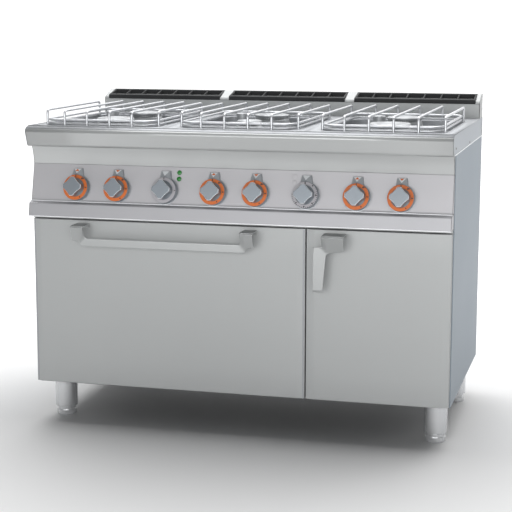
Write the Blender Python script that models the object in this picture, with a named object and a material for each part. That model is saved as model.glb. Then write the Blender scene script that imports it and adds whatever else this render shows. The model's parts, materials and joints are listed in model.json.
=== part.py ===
"""Six-burner gas range, 1.2 m wide, with an oven on the left and a cupboard on the right.

Metres, +Z up, front towards -Y. The origin is on the floor under the middle of the whole object.
Depths are measured backwards from the front of the worktop's nose by the function at_depth.
"""
import bpy
import bmesh
from math import pi, cos, sin, atan2, radians
from mathutils import Matrix, Vector

# ---------------------------------------------------------------- driving dimensions
WIDTH = 1.200            # over the side panels
DEPTH = 0.705            # worktop nose to back panel
WORKTOP = 0.862          # top of the worktop above the floor
SPLASH_TOP = 0.934       # back edge of the flue riser
BODY_BOTTOM = 0.122      # underside of the cabinet
SHEET = 0.002            # thickness of folded sheet steel
GAP = 0.0003             # clearance between touching pieces
REACH = 0.022            # how far the oven handle stands in front of the nose
MODULE = 0.400           # width of one pair of burners

HALF = WIDTH / 2
SEAM = WORKTOP - 0.0565                  # worktop skirt meets the side panels
FRONT = -(DEPTH + REACH) / 2 + REACH     # y of the nose
CABINET_FRONT = 0.0575                   # depth of the side panels' front edges
DOOR_FACE = 0.0368                       # depth of the doors' faces
DOOR_TOP = 0.598
SPLIT = 0.200                            # between oven and cupboard
ZONES = (-MODULE, 0.0, MODULE)

# ---------------------------------------------------------------- front profile, (depth, height)
NOSE_LOW = (0.0138, WORKTOP - 0.0524)
NOSE_RETURN = (0.0401, SEAM + 0.0002)
PANEL_TOP = (0.0548, 0.7545)
PANEL_LOW = (0.0310, 0.6548)
RAIL_TOP = (0.0134, 0.6464)
RAIL_LOW = (0.0062, 0.6099)

# ---------------------------------------------------------------- control panel
PANEL_TILT = atan2(PANEL_TOP[0] - PANEL_LOW[0], PANEL_TOP[1] - PANEL_LOW[1])
OUTWARD = Vector((0, -cos(PANEL_TILT), sin(PANEL_TILT)))
KNOB_DROP = 0.0680                       # knob axis below the panel's top fold, along the panel
KNOB_XS = (-0.46, -0.34, -0.20, -0.06, 0.06, 0.20, 0.34, 0.46)
DIALS = (3, 6)                           # oven selector and thermostat; the others are gas
LAMP_X = -0.1625
LAMP_DROPS = (0.0160, 0.0335)
LAMP_HOLDER = (0.016, 0.034)   # width and height of the block behind the two lenses
SKIRT_R = 0.0360
SKIRT_BACK = 0.0050
SKIRT_FRONT = 0.0210
GRIP_FRONT = 0.0480
GRIP_R = 0.0275
STEM_R = 0.0040

# ---------------------------------------------------------------- hob
WELL_DEPTH = 0.035
WELL_SIZE = (0.336, 0.478)
WELL_MID = 0.3050
WELL_CORNER = 0.035      # radius of a well's upright corners
BURNER_HOLE = 0.022      # radius of the hole under each burner
FRONT_BURNER = 0.190
REAR_BURNER = 0.450
CAP_TOP = WORKTOP + 0.0165
BURNERS = ((-MODULE, FRONT_BURNER, 0.054), (-MODULE, REAR_BURNER, 0.052),
           (0.0, FRONT_BURNER, 0.036), (0.0, REAR_BURNER, 0.052),
           (MODULE, FRONT_BURNER, 0.058), (MODULE, REAR_BURNER, 0.052))
ROD = 0.0035             # radius of the pan-support wire
ROD_PITCH = 0.0665
ROD_TOP = WORKTOP + 0.0455
SUPPORT_FRONT = 0.0500
SUPPORT_BACK = 0.5300
CORNER_SETBACK = 0.0350  # the outer wires stand behind the middle ones

# ---------------------------------------------------------------- flue riser
RISER_FRONT = 0.6300
GRILLE_HALF = 0.1850
GRILLE_LOW = 0.9060
GRILLE_CELLS = 7

# ---------------------------------------------------------------- feet
LEG_X = 0.5505
LEG_DEPTHS = (0.1426, 0.5792)
LEG_R = 0.0324
LEG_BORE = 0.0075         # blind hole for the foot's screw
LEG_BORE_TOP = 0.100
FOOT_R = 0.0286
FOOT_H = 0.0240


for old in list(bpy.data.objects):
    bpy.data.objects.remove(old, do_unlink=True)


def at_depth(depth):
    """The y of a point this far behind the nose."""
    return FRONT + depth


def finish(colour, roughness, metallic, name):
    """A Principled material of one finish."""
    material = bpy.data.materials.new(name)
    material.use_nodes = True
    shader = material.node_tree.nodes["Principled BSDF"]
    shader.inputs["Base Color"].default_value = (*colour, 1)
    shader.inputs["Roughness"].default_value = roughness
    shader.inputs["Metallic"].default_value = metallic
    return material


STEEL = dict(colour=(0.60, 0.62, 0.63), roughness=0.35, metallic=1.0)
CHROME = dict(colour=(0.75, 0.76, 0.78), roughness=0.12, metallic=1.0)
IRON = dict(colour=(0.03, 0.03, 0.032), roughness=0.6, metallic=0.2)
ENAMEL = dict(colour=(0.10, 0.10, 0.11), roughness=0.3, metallic=0.0)
BRASS = dict(colour=(0.60, 0.45, 0.20), roughness=0.3, metallic=1.0)
RUBBER = dict(colour=(0.05, 0.05, 0.05), roughness=0.8, metallic=0.0)
GREEN = dict(colour=(0.03, 0.25, 0.04), roughness=0.3, metallic=0.0)
KNOB = dict(colour=(0.50, 0.51, 0.53), roughness=0.3, metallic=0.8)


def add(name, mesh, look, place=None):
    """Put a mesh in the scene as one named piece, with its own material."""
    piece = bpy.data.objects.new(name, mesh)
    bpy.context.scene.collection.objects.link(piece)
    if place is not None:
        piece.matrix_world = place
    if look is not None:
        mesh.materials.clear()
        mesh.materials.append(finish(name=name, **look))
    return piece


def mesh_of(bm, name, smooth=False):
    """Close off a bmesh: faces outwards, and round ones shaded smooth."""
    bmesh.ops.recalc_face_normals(bm, faces=bm.faces)
    mesh = bpy.data.meshes.new(name)
    bm.to_mesh(mesh)
    bm.free()
    if smooth:
        mesh.shade_smooth()
        mesh.set_sharp_from_angle(angle=radians(35))
    return mesh


def add_box(bm, lo, hi):
    """Eight corners and six faces between two opposite corners."""
    middle = [(a + b) / 2 for a, b in zip(lo, hi)]
    size = [b - a for a, b in zip(lo, hi)]
    matrix = Matrix.Translation(middle) @ Matrix.Diagonal((*size, 1))
    return bmesh.ops.create_cube(bm, size=1, matrix=matrix)["verts"]


def box(name, lo, hi, look):
    """A plain block."""
    bm = bmesh.new()
    add_box(bm, lo, hi)
    return add(name, mesh_of(bm, name), look)


def open_box(name, lo, hi, open_side, look, wall=SHEET):
    """A box of even wall, open on one side: the open face is inset, then pushed inwards."""
    bm = bmesh.new()
    add_box(bm, lo, hi)
    bm.faces.ensure_lookup_table()
    normal = Vector(open_side)
    mouth = max(bm.faces, key=lambda f: f.normal.dot(normal))
    bmesh.ops.inset_region(bm, faces=[mouth], thickness=wall, use_even_offset=True)
    depth = abs(Vector(hi).dot(normal) - Vector(lo).dot(normal)) - wall
    pushed = bmesh.ops.extrude_face_region(bm, geom=[mouth])
    corners = [g for g in pushed["geom"] if isinstance(g, bmesh.types.BMVert)]
    bmesh.ops.translate(bm, verts=corners, vec=-normal * depth)
    bmesh.ops.delete(bm, geom=[mouth], context="FACES_ONLY")
    return add(name, mesh_of(bm, name), look)


def stepped_box(name, lo, hi, step_lo, step_hi, look):
    """A block with a smaller block standing on its back face, as one body."""
    bm = bmesh.new()
    add_box(bm, lo, hi)
    bm.faces.ensure_lookup_table()
    back = max(bm.faces, key=lambda f: f.normal.y)
    bmesh.ops.inset_region(bm, faces=[back], thickness=0.001)
    pushed = bmesh.ops.extrude_face_region(bm, geom=[back])
    corners = [g for g in pushed["geom"] if isinstance(g, bmesh.types.BMVert)]
    for v in back.verts:
        v.co.x = step_lo[0] if v.co.x < (lo[0] + hi[0]) / 2 else step_hi[0]
        v.co.z = step_lo[1] if v.co.z < (lo[2] + hi[2]) / 2 else step_hi[1]
    for v in corners:
        v.co.x = step_lo[0] if v.co.x < (lo[0] + hi[0]) / 2 else step_hi[0]
        v.co.z = step_lo[1] if v.co.z < (lo[2] + hi[2]) / 2 else step_hi[1]
        v.co.y = step_hi[2]
    bmesh.ops.delete(bm, geom=[back], context="FACES_ONLY")
    return add(name, mesh_of(bm, name), look)


def prism_mesh(name, outline, start, end, axis="X"):
    """A flat outline carried along one axis. X takes (depth, z) points, Y takes (x, z) points."""
    bm = bmesh.new()
    rows = []
    for along in (start, end):
        if axis == "X":
            row = [bm.verts.new((along, at_depth(a), b)) for a, b in outline]
        else:
            row = [bm.verts.new((a, at_depth(along), b)) for a, b in outline]
        rows.append(row)
    bm.faces.new(rows[0])
    bm.faces.new(rows[1])
    count = len(outline)
    for i in range(count):
        j = (i + 1) % count
        bm.faces.new((rows[0][i], rows[0][j], rows[1][j], rows[1][i]))
    return mesh_of(bm, name)


def cutter(mesh):
    """A guide that only cuts: hidden in renders, drawn as wire."""
    tool = add("tool_" + mesh.name, mesh, None)
    tool.hide_render = True
    tool.display_type = "WIRE"
    return tool


def combine(piece, tool, operation):
    """One Boolean against one tool."""
    modifier = piece.modifiers.new(operation.lower() + "_" + tool.name, "BOOLEAN")
    modifier.operation = operation
    modifier.object = tool
    modifier.solver = "EXACT"
    return piece


def applied(piece):
    """The piece's shape with its modifiers worked in, as a fresh mesh."""
    bpy.context.view_layer.update()
    evaluated = piece.evaluated_get(bpy.context.evaluated_depsgraph_get())
    mesh = bpy.data.meshes.new_from_object(evaluated)
    mesh.name = piece.name
    return mesh


def lathe_mesh(name, profile, sides, shape=None):
    """Turn (radius, height) points about Z. A radius function may shape a loop other than round.

    The profile runs from the middle of one end, over the outside, to the middle of the other,
    and both ends are closed by a flat face.
    """
    bm = bmesh.new()
    loops = []
    for index, (radius, height) in enumerate(profile):
        loop = []
        for k in range(sides):
            turn = 2 * pi * k / sides
            reach = radius if shape is None else shape(index, radius, turn)
            loop.append(bm.verts.new((reach * cos(turn), reach * sin(turn), height)))
        loops.append(loop)
    for low, high in zip(loops, loops[1:]):
        for k in range(sides):
            j = (k + 1) % sides
            bm.faces.new((low[k], low[j], high[j], high[k]))
    bm.faces.new(loops[0])
    bm.faces.new(loops[-1])
    return mesh_of(bm, name, smooth=True)


def add_tube(bm, path, radius, sides=6, closed=False):
    """Carry a small polygon along a path, mitred at each bend."""
    points = [Vector(p) for p in path]
    count = len(points)
    rings = []
    side = None
    for i, point in enumerate(points):
        if closed:
            before, after = points[i - 1], points[(i + 1) % count]
        else:
            before, after = points[max(i - 1, 0)], points[min(i + 1, count - 1)]
        into = (point - before).normalized() if point != before else (after - point).normalized()
        out = (after - point).normalized() if point != after else into
        along = (into + out).normalized()
        stretch = 1 / max(along.dot(into), 0.5)
        if side is None:
            side = along.orthogonal().normalized()
        side = (side - along * side.dot(along)).normalized()
        other = along.cross(side)
        bend = into.cross(out)
        ring = []
        for k in range(sides):
            turn = 2 * pi * (k + 0.5) / sides
            offset = side * cos(turn) * radius + other * sin(turn) * radius
            if bend.length > 1e-6:
                hinge = bend.normalized().cross(along)
                offset += hinge * offset.dot(hinge) * (stretch - 1)
            ring.append(bm.verts.new(point + offset))
        rings.append(ring)
    pairs = list(zip(rings, rings[1:]))
    if closed:
        pairs.append((rings[-1], rings[0]))
    for low, high in pairs:
        for k in range(sides):
            j = (k + 1) % sides
            bm.faces.new((low[k], low[j], high[j], high[k]))
    if not closed:
        bm.faces.new(rings[0])
        bm.faces.new(rings[-1])


def tube_mesh(name, path, radius, sides=6, closed=False):
    """One rod or pipe."""
    bm = bmesh.new()
    add_tube(bm, path, radius, sides, closed)
    return mesh_of(bm, name, smooth=True)


def union_of(name, meshes, look, place=None):
    """Weld several closed shapes into one body."""
    first = add(name, meshes[0], None)
    tools = [cutter(mesh) for mesh in meshes[1:]]
    for tool in tools:
        combine(first, tool, "UNION")
    mesh = applied(first)
    for used in [first, *tools]:
        bpy.data.objects.remove(used, do_unlink=True)
    return add(name, mesh, look, place)


def folded_sheet(name, rows, holes, thickness, look):
    """A sheet laid out as rows of points, with some cells left out, given its thickness."""
    bm = bmesh.new()
    grid = [[bm.verts.new(point) for point in row] for row in rows]
    for r in range(len(rows) - 1):
        for c in range(len(rows[0]) - 1):
            if (r, c) not in holes:
                bm.faces.new((grid[r][c], grid[r][c + 1], grid[r + 1][c + 1], grid[r + 1][c]))
    loose = [v for v in bm.verts if not v.link_faces]
    bmesh.ops.delete(bm, geom=loose, context="VERTS")
    mesh = mesh_of(bm, name)
    piece = add(name, mesh, look)
    wall = piece.modifiers.new("wall", "SOLIDIFY")
    wall.thickness = thickness
    wall.offset = 0
    wall.use_even_offset = True
    return piece


def rounded_rectangle(x0, x1, y0, y1, radius, steps=4):
    """Corner points of a rectangle with round corners, anticlockwise."""
    points = []
    centres = ((x1 - radius, y1 - radius, 0), (x0 + radius, y1 - radius, 1),
               (x0 + radius, y0 + radius, 2), (x1 - radius, y0 + radius, 3))
    for cx, cy, quarter in centres:
        for k in range(steps + 1):
            turn = (quarter + k / steps) * pi / 2
            points.append((cx + radius * cos(turn), cy + radius * sin(turn)))
    return points


def upright_prism(bm, outline, low, high):
    """A plan outline carried upwards."""
    bottom = [bm.verts.new((x, y, low)) for x, y in outline]
    top = [bm.verts.new((x, y, high)) for x, y in outline]
    bm.faces.new(bottom)
    bm.faces.new(top)
    for i in range(len(outline)):
        j = (i + 1) % len(outline)
        bm.faces.new((bottom[i], bottom[j], top[j], top[i]))


# ---------------------------------------------------------------- feet and base
def build_base():
    """A shallow tray with four leg tubes welded under it, and a screwed foot in each tube."""
    tray = open_box("tray", (-HALF + 0.0025, at_depth(CABINET_FRONT + 0.005), BODY_BOTTOM),
                    (HALF - 0.0025, at_depth(DEPTH - SHEET - 0.0005), BODY_BOTTOM + 0.020),
                    (0, 0, 1), None)
    places = [(x, at_depth(d)) for d in LEG_DEPTHS for x in (-LEG_X, LEG_X)]
    leg_profile = ((LEG_BORE, LEG_BORE_TOP), (LEG_BORE, FOOT_H + GAP), (LEG_R, FOOT_H + GAP),
                   (LEG_R, BODY_BOTTOM + 0.001))
    legs = []
    for i, (x, y) in enumerate(places):
        leg = lathe_mesh("leg_%d" % i, leg_profile, 24)
        leg.transform(Matrix.Translation((x, y, 0)))
        legs.append(leg)
    union_of("base_frame", [tray.data, *legs], STEEL)
    bpy.data.objects.remove(tray, do_unlink=True)
    foot_profile = ((FOOT_R - 0.002, 0), (FOOT_R, 0.002), (FOOT_R, FOOT_H), (0.006, FOOT_H),
                    (0.006, 0.090))
    shape = lathe_mesh("foot", foot_profile, 24)
    names = ("foot_front_left", "foot_front_right", "foot_rear_left", "foot_rear_right")
    for name, (x, y) in zip(names, places):
        add(name, shape.copy(), CHROME, Matrix.Translation((x, y, 0)))


def build_casing():
    """Side panels folded to a channel, the back, and the wall between oven and cupboard."""
    for name, side in (("side_panel_left", -1), ("side_panel_right", 1)):
        outer, inner, lip = side * HALF, side * (HALF - SHEET), side * (HALF - 0.020)
        front, back = at_depth(CABINET_FRONT), at_depth(DEPTH - SHEET - GAP)
        outline = [(outer, front), (lip, front), (lip, front + SHEET), (inner, front + SHEET),
                   (inner, back - SHEET), (lip, back - SHEET), (lip, back), (outer, back)]
        bm = bmesh.new()
        upright_prism(bm, outline, BODY_BOTTOM + 0.021, SEAM - GAP)
        upper = mesh_of(bm, name)
        bm = bmesh.new()
        add_box(bm, (min(outer, inner), front, BODY_BOTTOM - 0.0025),
                (max(outer, inner), back, BODY_BOTTOM + 0.022))
        union_of(name, [upper, mesh_of(bm, name + "_skirt")], STEEL)
    box("back_panel", (-HALF + 0.0005, at_depth(DEPTH - SHEET), BODY_BOTTOM),
        (HALF - 0.0005, at_depth(DEPTH), SEAM - GAP), STEEL)
    box("divider_panel", (SPLIT - 0.004, at_depth(CABINET_FRONT + 0.0005), BODY_BOTTOM + 0.0205),
        (SPLIT + 0.004, at_depth(DEPTH - 0.008), DOOR_TOP), STEEL)


def well_edge(x, grow):
    """Corner points of the well under one zone, grown sideways."""
    half_x, half_y = WELL_SIZE[0] / 2 + grow, WELL_SIZE[1] / 2 + grow
    y = at_depth(WELL_MID)
    return rounded_rectangle(x - half_x, x + half_x, y - half_y, y + half_y, WELL_CORNER + grow)


def build_worktop():
    """A folded top with a rounded nose and skirts, open over the three wells."""
    arc = [(0.020 - 0.020 * cos(a), WORKTOP - 0.0164 + 0.0164 * sin(a))
           for a in (radians(0), radians(30), radians(60), radians(90))]
    outside = [*arc, (DEPTH, WORKTOP), (DEPTH, SEAM), NOSE_RETURN, (0.0180, NOSE_LOW[1] - 0.002),
               NOSE_LOW]
    top = add("worktop", prism_mesh("worktop", outside, -HALF, HALF), STEEL)
    hollow = [(0.004, WORKTOP - 0.0190), (0.010, WORKTOP - 0.006), (0.020, WORKTOP - SHEET),
              (DEPTH - SHEET, WORKTOP - SHEET), (DEPTH - SHEET, SEAM - 0.010),
              (0.0440, SEAM - 0.010), (0.0420, SEAM + 0.0028), (0.0172, NOSE_LOW[1] + 0.0010)]
    combine(top, cutter(prism_mesh("hollow", hollow, -HALF + SHEET, HALF - SHEET)), "DIFFERENCE")
    wells = bmesh.new()
    for x in ZONES:
        upright_prism(wells, well_edge(x, SHEET + GAP), SEAM, WORKTOP + 0.02)
    combine(top, cutter(mesh_of(wells, "wells")), "DIFFERENCE")


def build_wells():
    """Three drawn pans that close the worktop's openings, with a hole under each burner."""
    floor = WORKTOP - WELL_DEPTH
    for number, x in enumerate(ZONES, start=1):
        name = "well_pan_%d" % number
        outside = bmesh.new()
        upright_prism(outside, well_edge(x, SHEET), floor - SHEET, WORKTOP)
        pan = add(name, mesh_of(outside, name), STEEL)
        hollow = bmesh.new()
        upright_prism(hollow, well_edge(x, 0), floor, WORKTOP + 0.02)
        combine(pan, cutter(mesh_of(hollow, "well_hollow")), "DIFFERENCE")
        holes = bmesh.new()
        for burner_x, depth, _ in BURNERS:
            if burner_x == x:
                upright_prism(holes, [(x + BURNER_HOLE * cos(2 * pi * k / 16),
                                       at_depth(depth) + BURNER_HOLE * sin(2 * pi * k / 16))
                                      for k in range(16)], floor - 0.01, floor + 0.01)
        combine(pan, cutter(mesh_of(holes, "burner_holes")), "DIFFERENCE")


def panel_frame(x, drop):
    """A frame on the control panel: Z out of the panel, Y up the slope, X to the right."""
    up = Vector((0, sin(PANEL_TILT), cos(PANEL_TILT)))
    origin = Vector((x, at_depth(PANEL_TOP[0]), PANEL_TOP[1])) - up * drop
    frame = Matrix((Vector((1, 0, 0)), up, OUTWARD)).transposed().to_4x4()
    return Matrix.Translation(origin) @ frame


def build_lamps():
    """Two lenses moulded on one holder behind the panel."""
    middle = sum(LAMP_DROPS) / 2
    holder = bmesh.new()
    add_box(holder, (-LAMP_HOLDER[0] / 2, -LAMP_HOLDER[1] / 2, -0.0080),
            (LAMP_HOLDER[0] / 2, LAMP_HOLDER[1] / 2, -SHEET - 2 * GAP))
    meshes = [mesh_of(holder, "lamp_holder")]
    for drop in LAMP_DROPS:
        lens = lathe_mesh("lamp_lens", ((0.0045, -0.0060), (0.0045, 0.0012), (0.0038, 0.0022),
                                        (0.0020, 0.0030)), 16)
        lens.transform(Matrix.Translation((0, middle - drop, 0)))
        meshes.append(lens)
    lamps = union_of("pilot_lamps", meshes, GREEN)
    lamps.data.transform(panel_frame(LAMP_X, middle))


def build_front():
    """The sloped control panel with its cheeks, and the rail under it."""
    back = CABINET_FRONT - GAP
    outside = [(NOSE_RETURN[0] + 0.001, SEAM - GAP), PANEL_TOP, PANEL_LOW, (0.0265, 0.6525),
               (0.0265, 0.6505), (back, 0.6505), (back, SEAM - GAP)]
    panel = add("control_panel", prism_mesh("control_panel", outside, -HALF + SHEET + GAP,
                                            HALF - SHEET - GAP), STEEL)
    inside = [(NOSE_RETURN[0] + 0.0032, SEAM - 0.003), (PANEL_TOP[0] + 0.0021, PANEL_TOP[1]),
              (PANEL_LOW[0] + 0.0021, PANEL_LOW[1]), (0.0300, 0.6527), (back + 0.030, 0.6527),
              (back + 0.030, SEAM - 0.003)]
    combine(panel, cutter(prism_mesh("panel_inside", inside, -HALF + 2 * SHEET + GAP,
                                     HALF - 2 * SHEET - GAP)), "DIFFERENCE")
    holes = bmesh.new()
    for x in KNOB_XS:
        circle = [(0.0055 * cos(2 * pi * k / 12), 0.0055 * sin(2 * pi * k / 12)) for k in range(12)]
        start = len(holes.verts)
        upright_prism(holes, circle, -0.012, 0.012)
        holes.verts.ensure_lookup_table()
        bmesh.ops.transform(holes, matrix=panel_frame(x, KNOB_DROP), verts=holes.verts[start:])
    for drop in LAMP_DROPS:
        circle = [(0.0050 * cos(2 * pi * k / 12), 0.0050 * sin(2 * pi * k / 12)) for k in range(12)]
        start = len(holes.verts)
        upright_prism(holes, circle, -0.012, 0.012)
        holes.verts.ensure_lookup_table()
        bmesh.ops.transform(holes, matrix=panel_frame(LAMP_X, drop), verts=holes.verts[start:])
    combine(panel, cutter(mesh_of(holes, "panel_holes")), "DIFFERENCE")
    build_lamps()
    outside = [(back, 0.6500), (0.0262, 0.6500), (0.0180, 0.6500), RAIL_TOP, RAIL_LOW,
               (0.0100, 0.6085), (back, 0.6085)]
    rail = add("lower_rail", prism_mesh("lower_rail", outside, -HALF + SHEET + GAP,
                                        HALF - SHEET - GAP), STEEL)
    inside = [(back + 0.030, 0.6478), (0.0195, 0.6478), (RAIL_TOP[0] + 0.003, 0.6445),
              (RAIL_LOW[0] + 0.004, 0.6107), (back + 0.030, 0.6107)]
    combine(rail, cutter(prism_mesh("rail_inside", inside, -HALF + 2 * SHEET + GAP,
                                    HALF - 2 * SHEET - GAP)), "DIFFERENCE")


def knob_loop(index, radius, turn):
    """The skirt is round; the grip is a square on its corner, with hollow sides."""
    if index < GRIP_START:
        return radius
    quarter = (turn % (pi / 2)) - pi / 4
    flat = radius * 0.74 / max(cos(quarter), 0.1)
    hollow = 1 - 0.05 * cos(2 * quarter) ** 8
    return min(flat * hollow, radius)


GRIP_START = 4


def build_knobs():
    """Eight knobs; each gas knob turns on a stem that pushes in."""
    profile = ((STEM_R + 0.0006, 0.030), (STEM_R + 0.0006, SKIRT_BACK), (SKIRT_R + 0.0008, SKIRT_BACK),
               (SKIRT_R, SKIRT_FRONT), (GRIP_R, SKIRT_FRONT + 0.0005), (GRIP_R, GRIP_FRONT - 0.002),
               (GRIP_R - 0.002, GRIP_FRONT))
    shape = lathe_mesh("knob", profile, 24, knob_loop)
    stem = lathe_mesh("stem", ((STEM_R, -0.020), (STEM_R, 0.0294)), 12)
    for number, x in enumerate(KNOB_XS, start=1):
        add("knob_%d" % number, shape.copy(), KNOB, panel_frame(x, KNOB_DROP))
        if number not in DIALS:
            add("valve_stem_%d" % number, stem.copy(), CHROME, panel_frame(x, KNOB_DROP))


def build_gas_rail():
    """The pipe behind the panel, a valve block behind each gas knob, and the inlet at the back."""
    pipe_y, pipe_z = at_depth(0.130), 0.668
    parts = [tube_mesh("gas_pipe", [(-0.54, pipe_y, pipe_z), (0.545, pipe_y, pipe_z),
                                    (0.560, pipe_y + 0.015, pipe_z),
                                    (0.560, at_depth(DEPTH - 0.012), pipe_z)], 0.0105, 10)]
    for number, x in enumerate(KNOB_XS, start=1):
        if number not in DIALS:
            bm = bmesh.new()
            add_box(bm, (-0.0130, -0.0130, -0.110), (0.0130, 0.0130, -0.026))
            block = mesh_of(bm, "valve_%d" % number)
            block.transform(panel_frame(x, KNOB_DROP))
            parts.append(block)
    union_of("gas_rail", parts, BRASS)


def build_burners():
    """Six burners: a flared body with its mixing tube, and a loose cap on a ring of flame ports."""
    floor = WORKTOP - WELL_DEPTH
    for number, (x, depth, radius) in enumerate(BURNERS, start=1):
        place = Matrix.Translation((x, at_depth(depth), 0))
        neck = radius * 0.80
        body = ((0.0180, floor - 0.030), (0.0180, floor + GAP), (radius + 0.009, floor + GAP),
                (radius + 0.007, floor + 0.004), (radius - 0.003, CAP_TOP - 0.0145), (neck, CAP_TOP - 0.0140),
                (neck, CAP_TOP - 0.0080))
        add("burner_body_%d" % number, lathe_mesh("burner_body", body, 24), STEEL, place)
        cap = ((neck - 0.001, CAP_TOP - 0.0077), (radius, CAP_TOP - 0.0077), (radius, CAP_TOP - 0.0030),
               (radius - 0.004, CAP_TOP))
        add("burner_cap_%d" % number, lathe_mesh("burner_cap", cap, 24), STEEL, place)


def support_meshes():
    """The wires of one pan support about x = 0: six bent rods and two rings welded inside them."""
    meshes = []
    foot = WORKTOP + GAP
    for k in range(6):
        x = (k - 2.5) * ROD_PITCH
        outer = CORNER_SETBACK if k in (0, 5) else 0.0
        front, back = at_depth(SUPPORT_FRONT + outer), at_depth(SUPPORT_BACK - outer)
        top = ROD_TOP - ROD
        path = [(x, front, foot), (x, front, top), (x, back, top), (x, back, foot)]
        meshes.append(tube_mesh("wire_%d" % k, path, ROD))
    inset = ROD * 1.5
    half = 2.5 * ROD_PITCH - inset
    plan = rounded_rectangle(-half, half, at_depth(SUPPORT_FRONT) + inset,
                             at_depth(SUPPORT_BACK) - inset, CORNER_SETBACK - ROD * 2, steps=1)
    for number, height in enumerate((WORKTOP + 0.0060, WORKTOP + 0.0165)):
        path = [(x, y, height) for x, y in plan]
        meshes.append(tube_mesh("ring_%d" % number, path, ROD, closed=True))
    return meshes


def build_supports():
    """Three equal pan supports, lifted off for cleaning."""
    first = union_of("pan_support_2", support_meshes(), CHROME)
    for number, x in ((1, ZONES[0]), (3, ZONES[2])):
        mesh = first.data.copy()
        add("pan_support_%d" % number, mesh, CHROME, Matrix.Translation((x, 0, 0)))


def build_riser():
    """The low flue riser with three openings, and a cast grille dropped into each."""
    outline = [(RISER_FRONT, WORKTOP + GAP), (RISER_FRONT, 0.9090), (RISER_FRONT + 0.004, 0.9145),
               (DEPTH - 0.012, SPLASH_TOP), (DEPTH, SPLASH_TOP), (DEPTH, WORKTOP + GAP)]
    riser = add("flue_riser", prism_mesh("flue_riser", outline, -HALF, HALF), STEEL)
    inside = [(RISER_FRONT + SHEET, WORKTOP - 0.010), (RISER_FRONT + SHEET, 0.9085),
              (RISER_FRONT + 0.006, 0.9128), (DEPTH - 0.0125, SPLASH_TOP - SHEET),
              (DEPTH - SHEET, SPLASH_TOP - SHEET), (DEPTH - SHEET, WORKTOP - 0.010)]
    combine(riser, cutter(prism_mesh("riser_inside", inside, -HALF + SHEET, HALF - SHEET)),
            "DIFFERENCE")
    mouths = bmesh.new()
    for x in ZONES:
        add_box(mouths, (x - GRILLE_HALF - 0.0005, at_depth(RISER_FRONT - 0.01), GRILLE_LOW),
                (x + GRILLE_HALF + 0.0005, at_depth(DEPTH - 0.012), SPLASH_TOP + 0.01))
    combine(riser, cutter(mesh_of(mouths, "riser_mouths")), "DIFFERENCE")
    for number, x in enumerate(ZONES, start=1):
        front, rear = RISER_FRONT - 0.0015, DEPTH - 0.0125
        outline = [(front, GRILLE_LOW + GAP), (front, 0.9180), (front + 0.002, 0.9195),
                   (rear, SPLASH_TOP), (rear, SPLASH_TOP - 0.012), (front + 0.010, GRILLE_LOW + GAP)]
        name = "flue_grille_%d" % number
        grille = add(name, prism_mesh(name, outline, x - GRILLE_HALF, x + GRILLE_HALF), IRON)
        cells = bmesh.new()
        pitch = 2 * (GRILLE_HALF - 0.006) / GRILLE_CELLS
        for k in range(GRILLE_CELLS):
            left = x - GRILLE_HALF + 0.006 + k * pitch + 0.003
            add_box(cells, (left, at_depth(front + 0.012), GRILLE_LOW - 0.01),
                    (left + pitch - 0.006, at_depth(rear - 0.005), SPLASH_TOP + 0.01))
        combine(grille, cutter(mesh_of(cells, "cells_%d" % number)), "DIFFERENCE")


# ---------------------------------------------------------------- oven
OVEN_LO, OVEN_HI = (-0.596, 0.145), (0.194, 0.600)      # front frame, (x, z)
CAVITY_LO, CAVITY_HI = (-0.545, 0.190), (0.145, 0.520)  # inside, (x, z)
OVEN_FACE = 0.0625
CAVITY_REAR = 0.620
RIB = 0.010
RIB_HEIGHTS = (0.250, 0.330, 0.410)


def cavity_outline():
    """The oven cavity seen from the front, with shelf ribs standing in from both walls."""
    x0, z0 = CAVITY_LO
    x1, z1 = CAVITY_HI
    left, right = [], []
    for z in RIB_HEIGHTS:
        right += [(x1, z), (x1 - RIB, z), (x1 - RIB, z + 0.006), (x1, z + 0.006)]
        left += [(x0, z), (x0 + RIB, z), (x0 + RIB, z + 0.006), (x0, z + 0.006)]
    return [(x0, z0), (x1, z0), *right, (x1, z1), (x0, z1), *reversed(left)]


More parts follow.
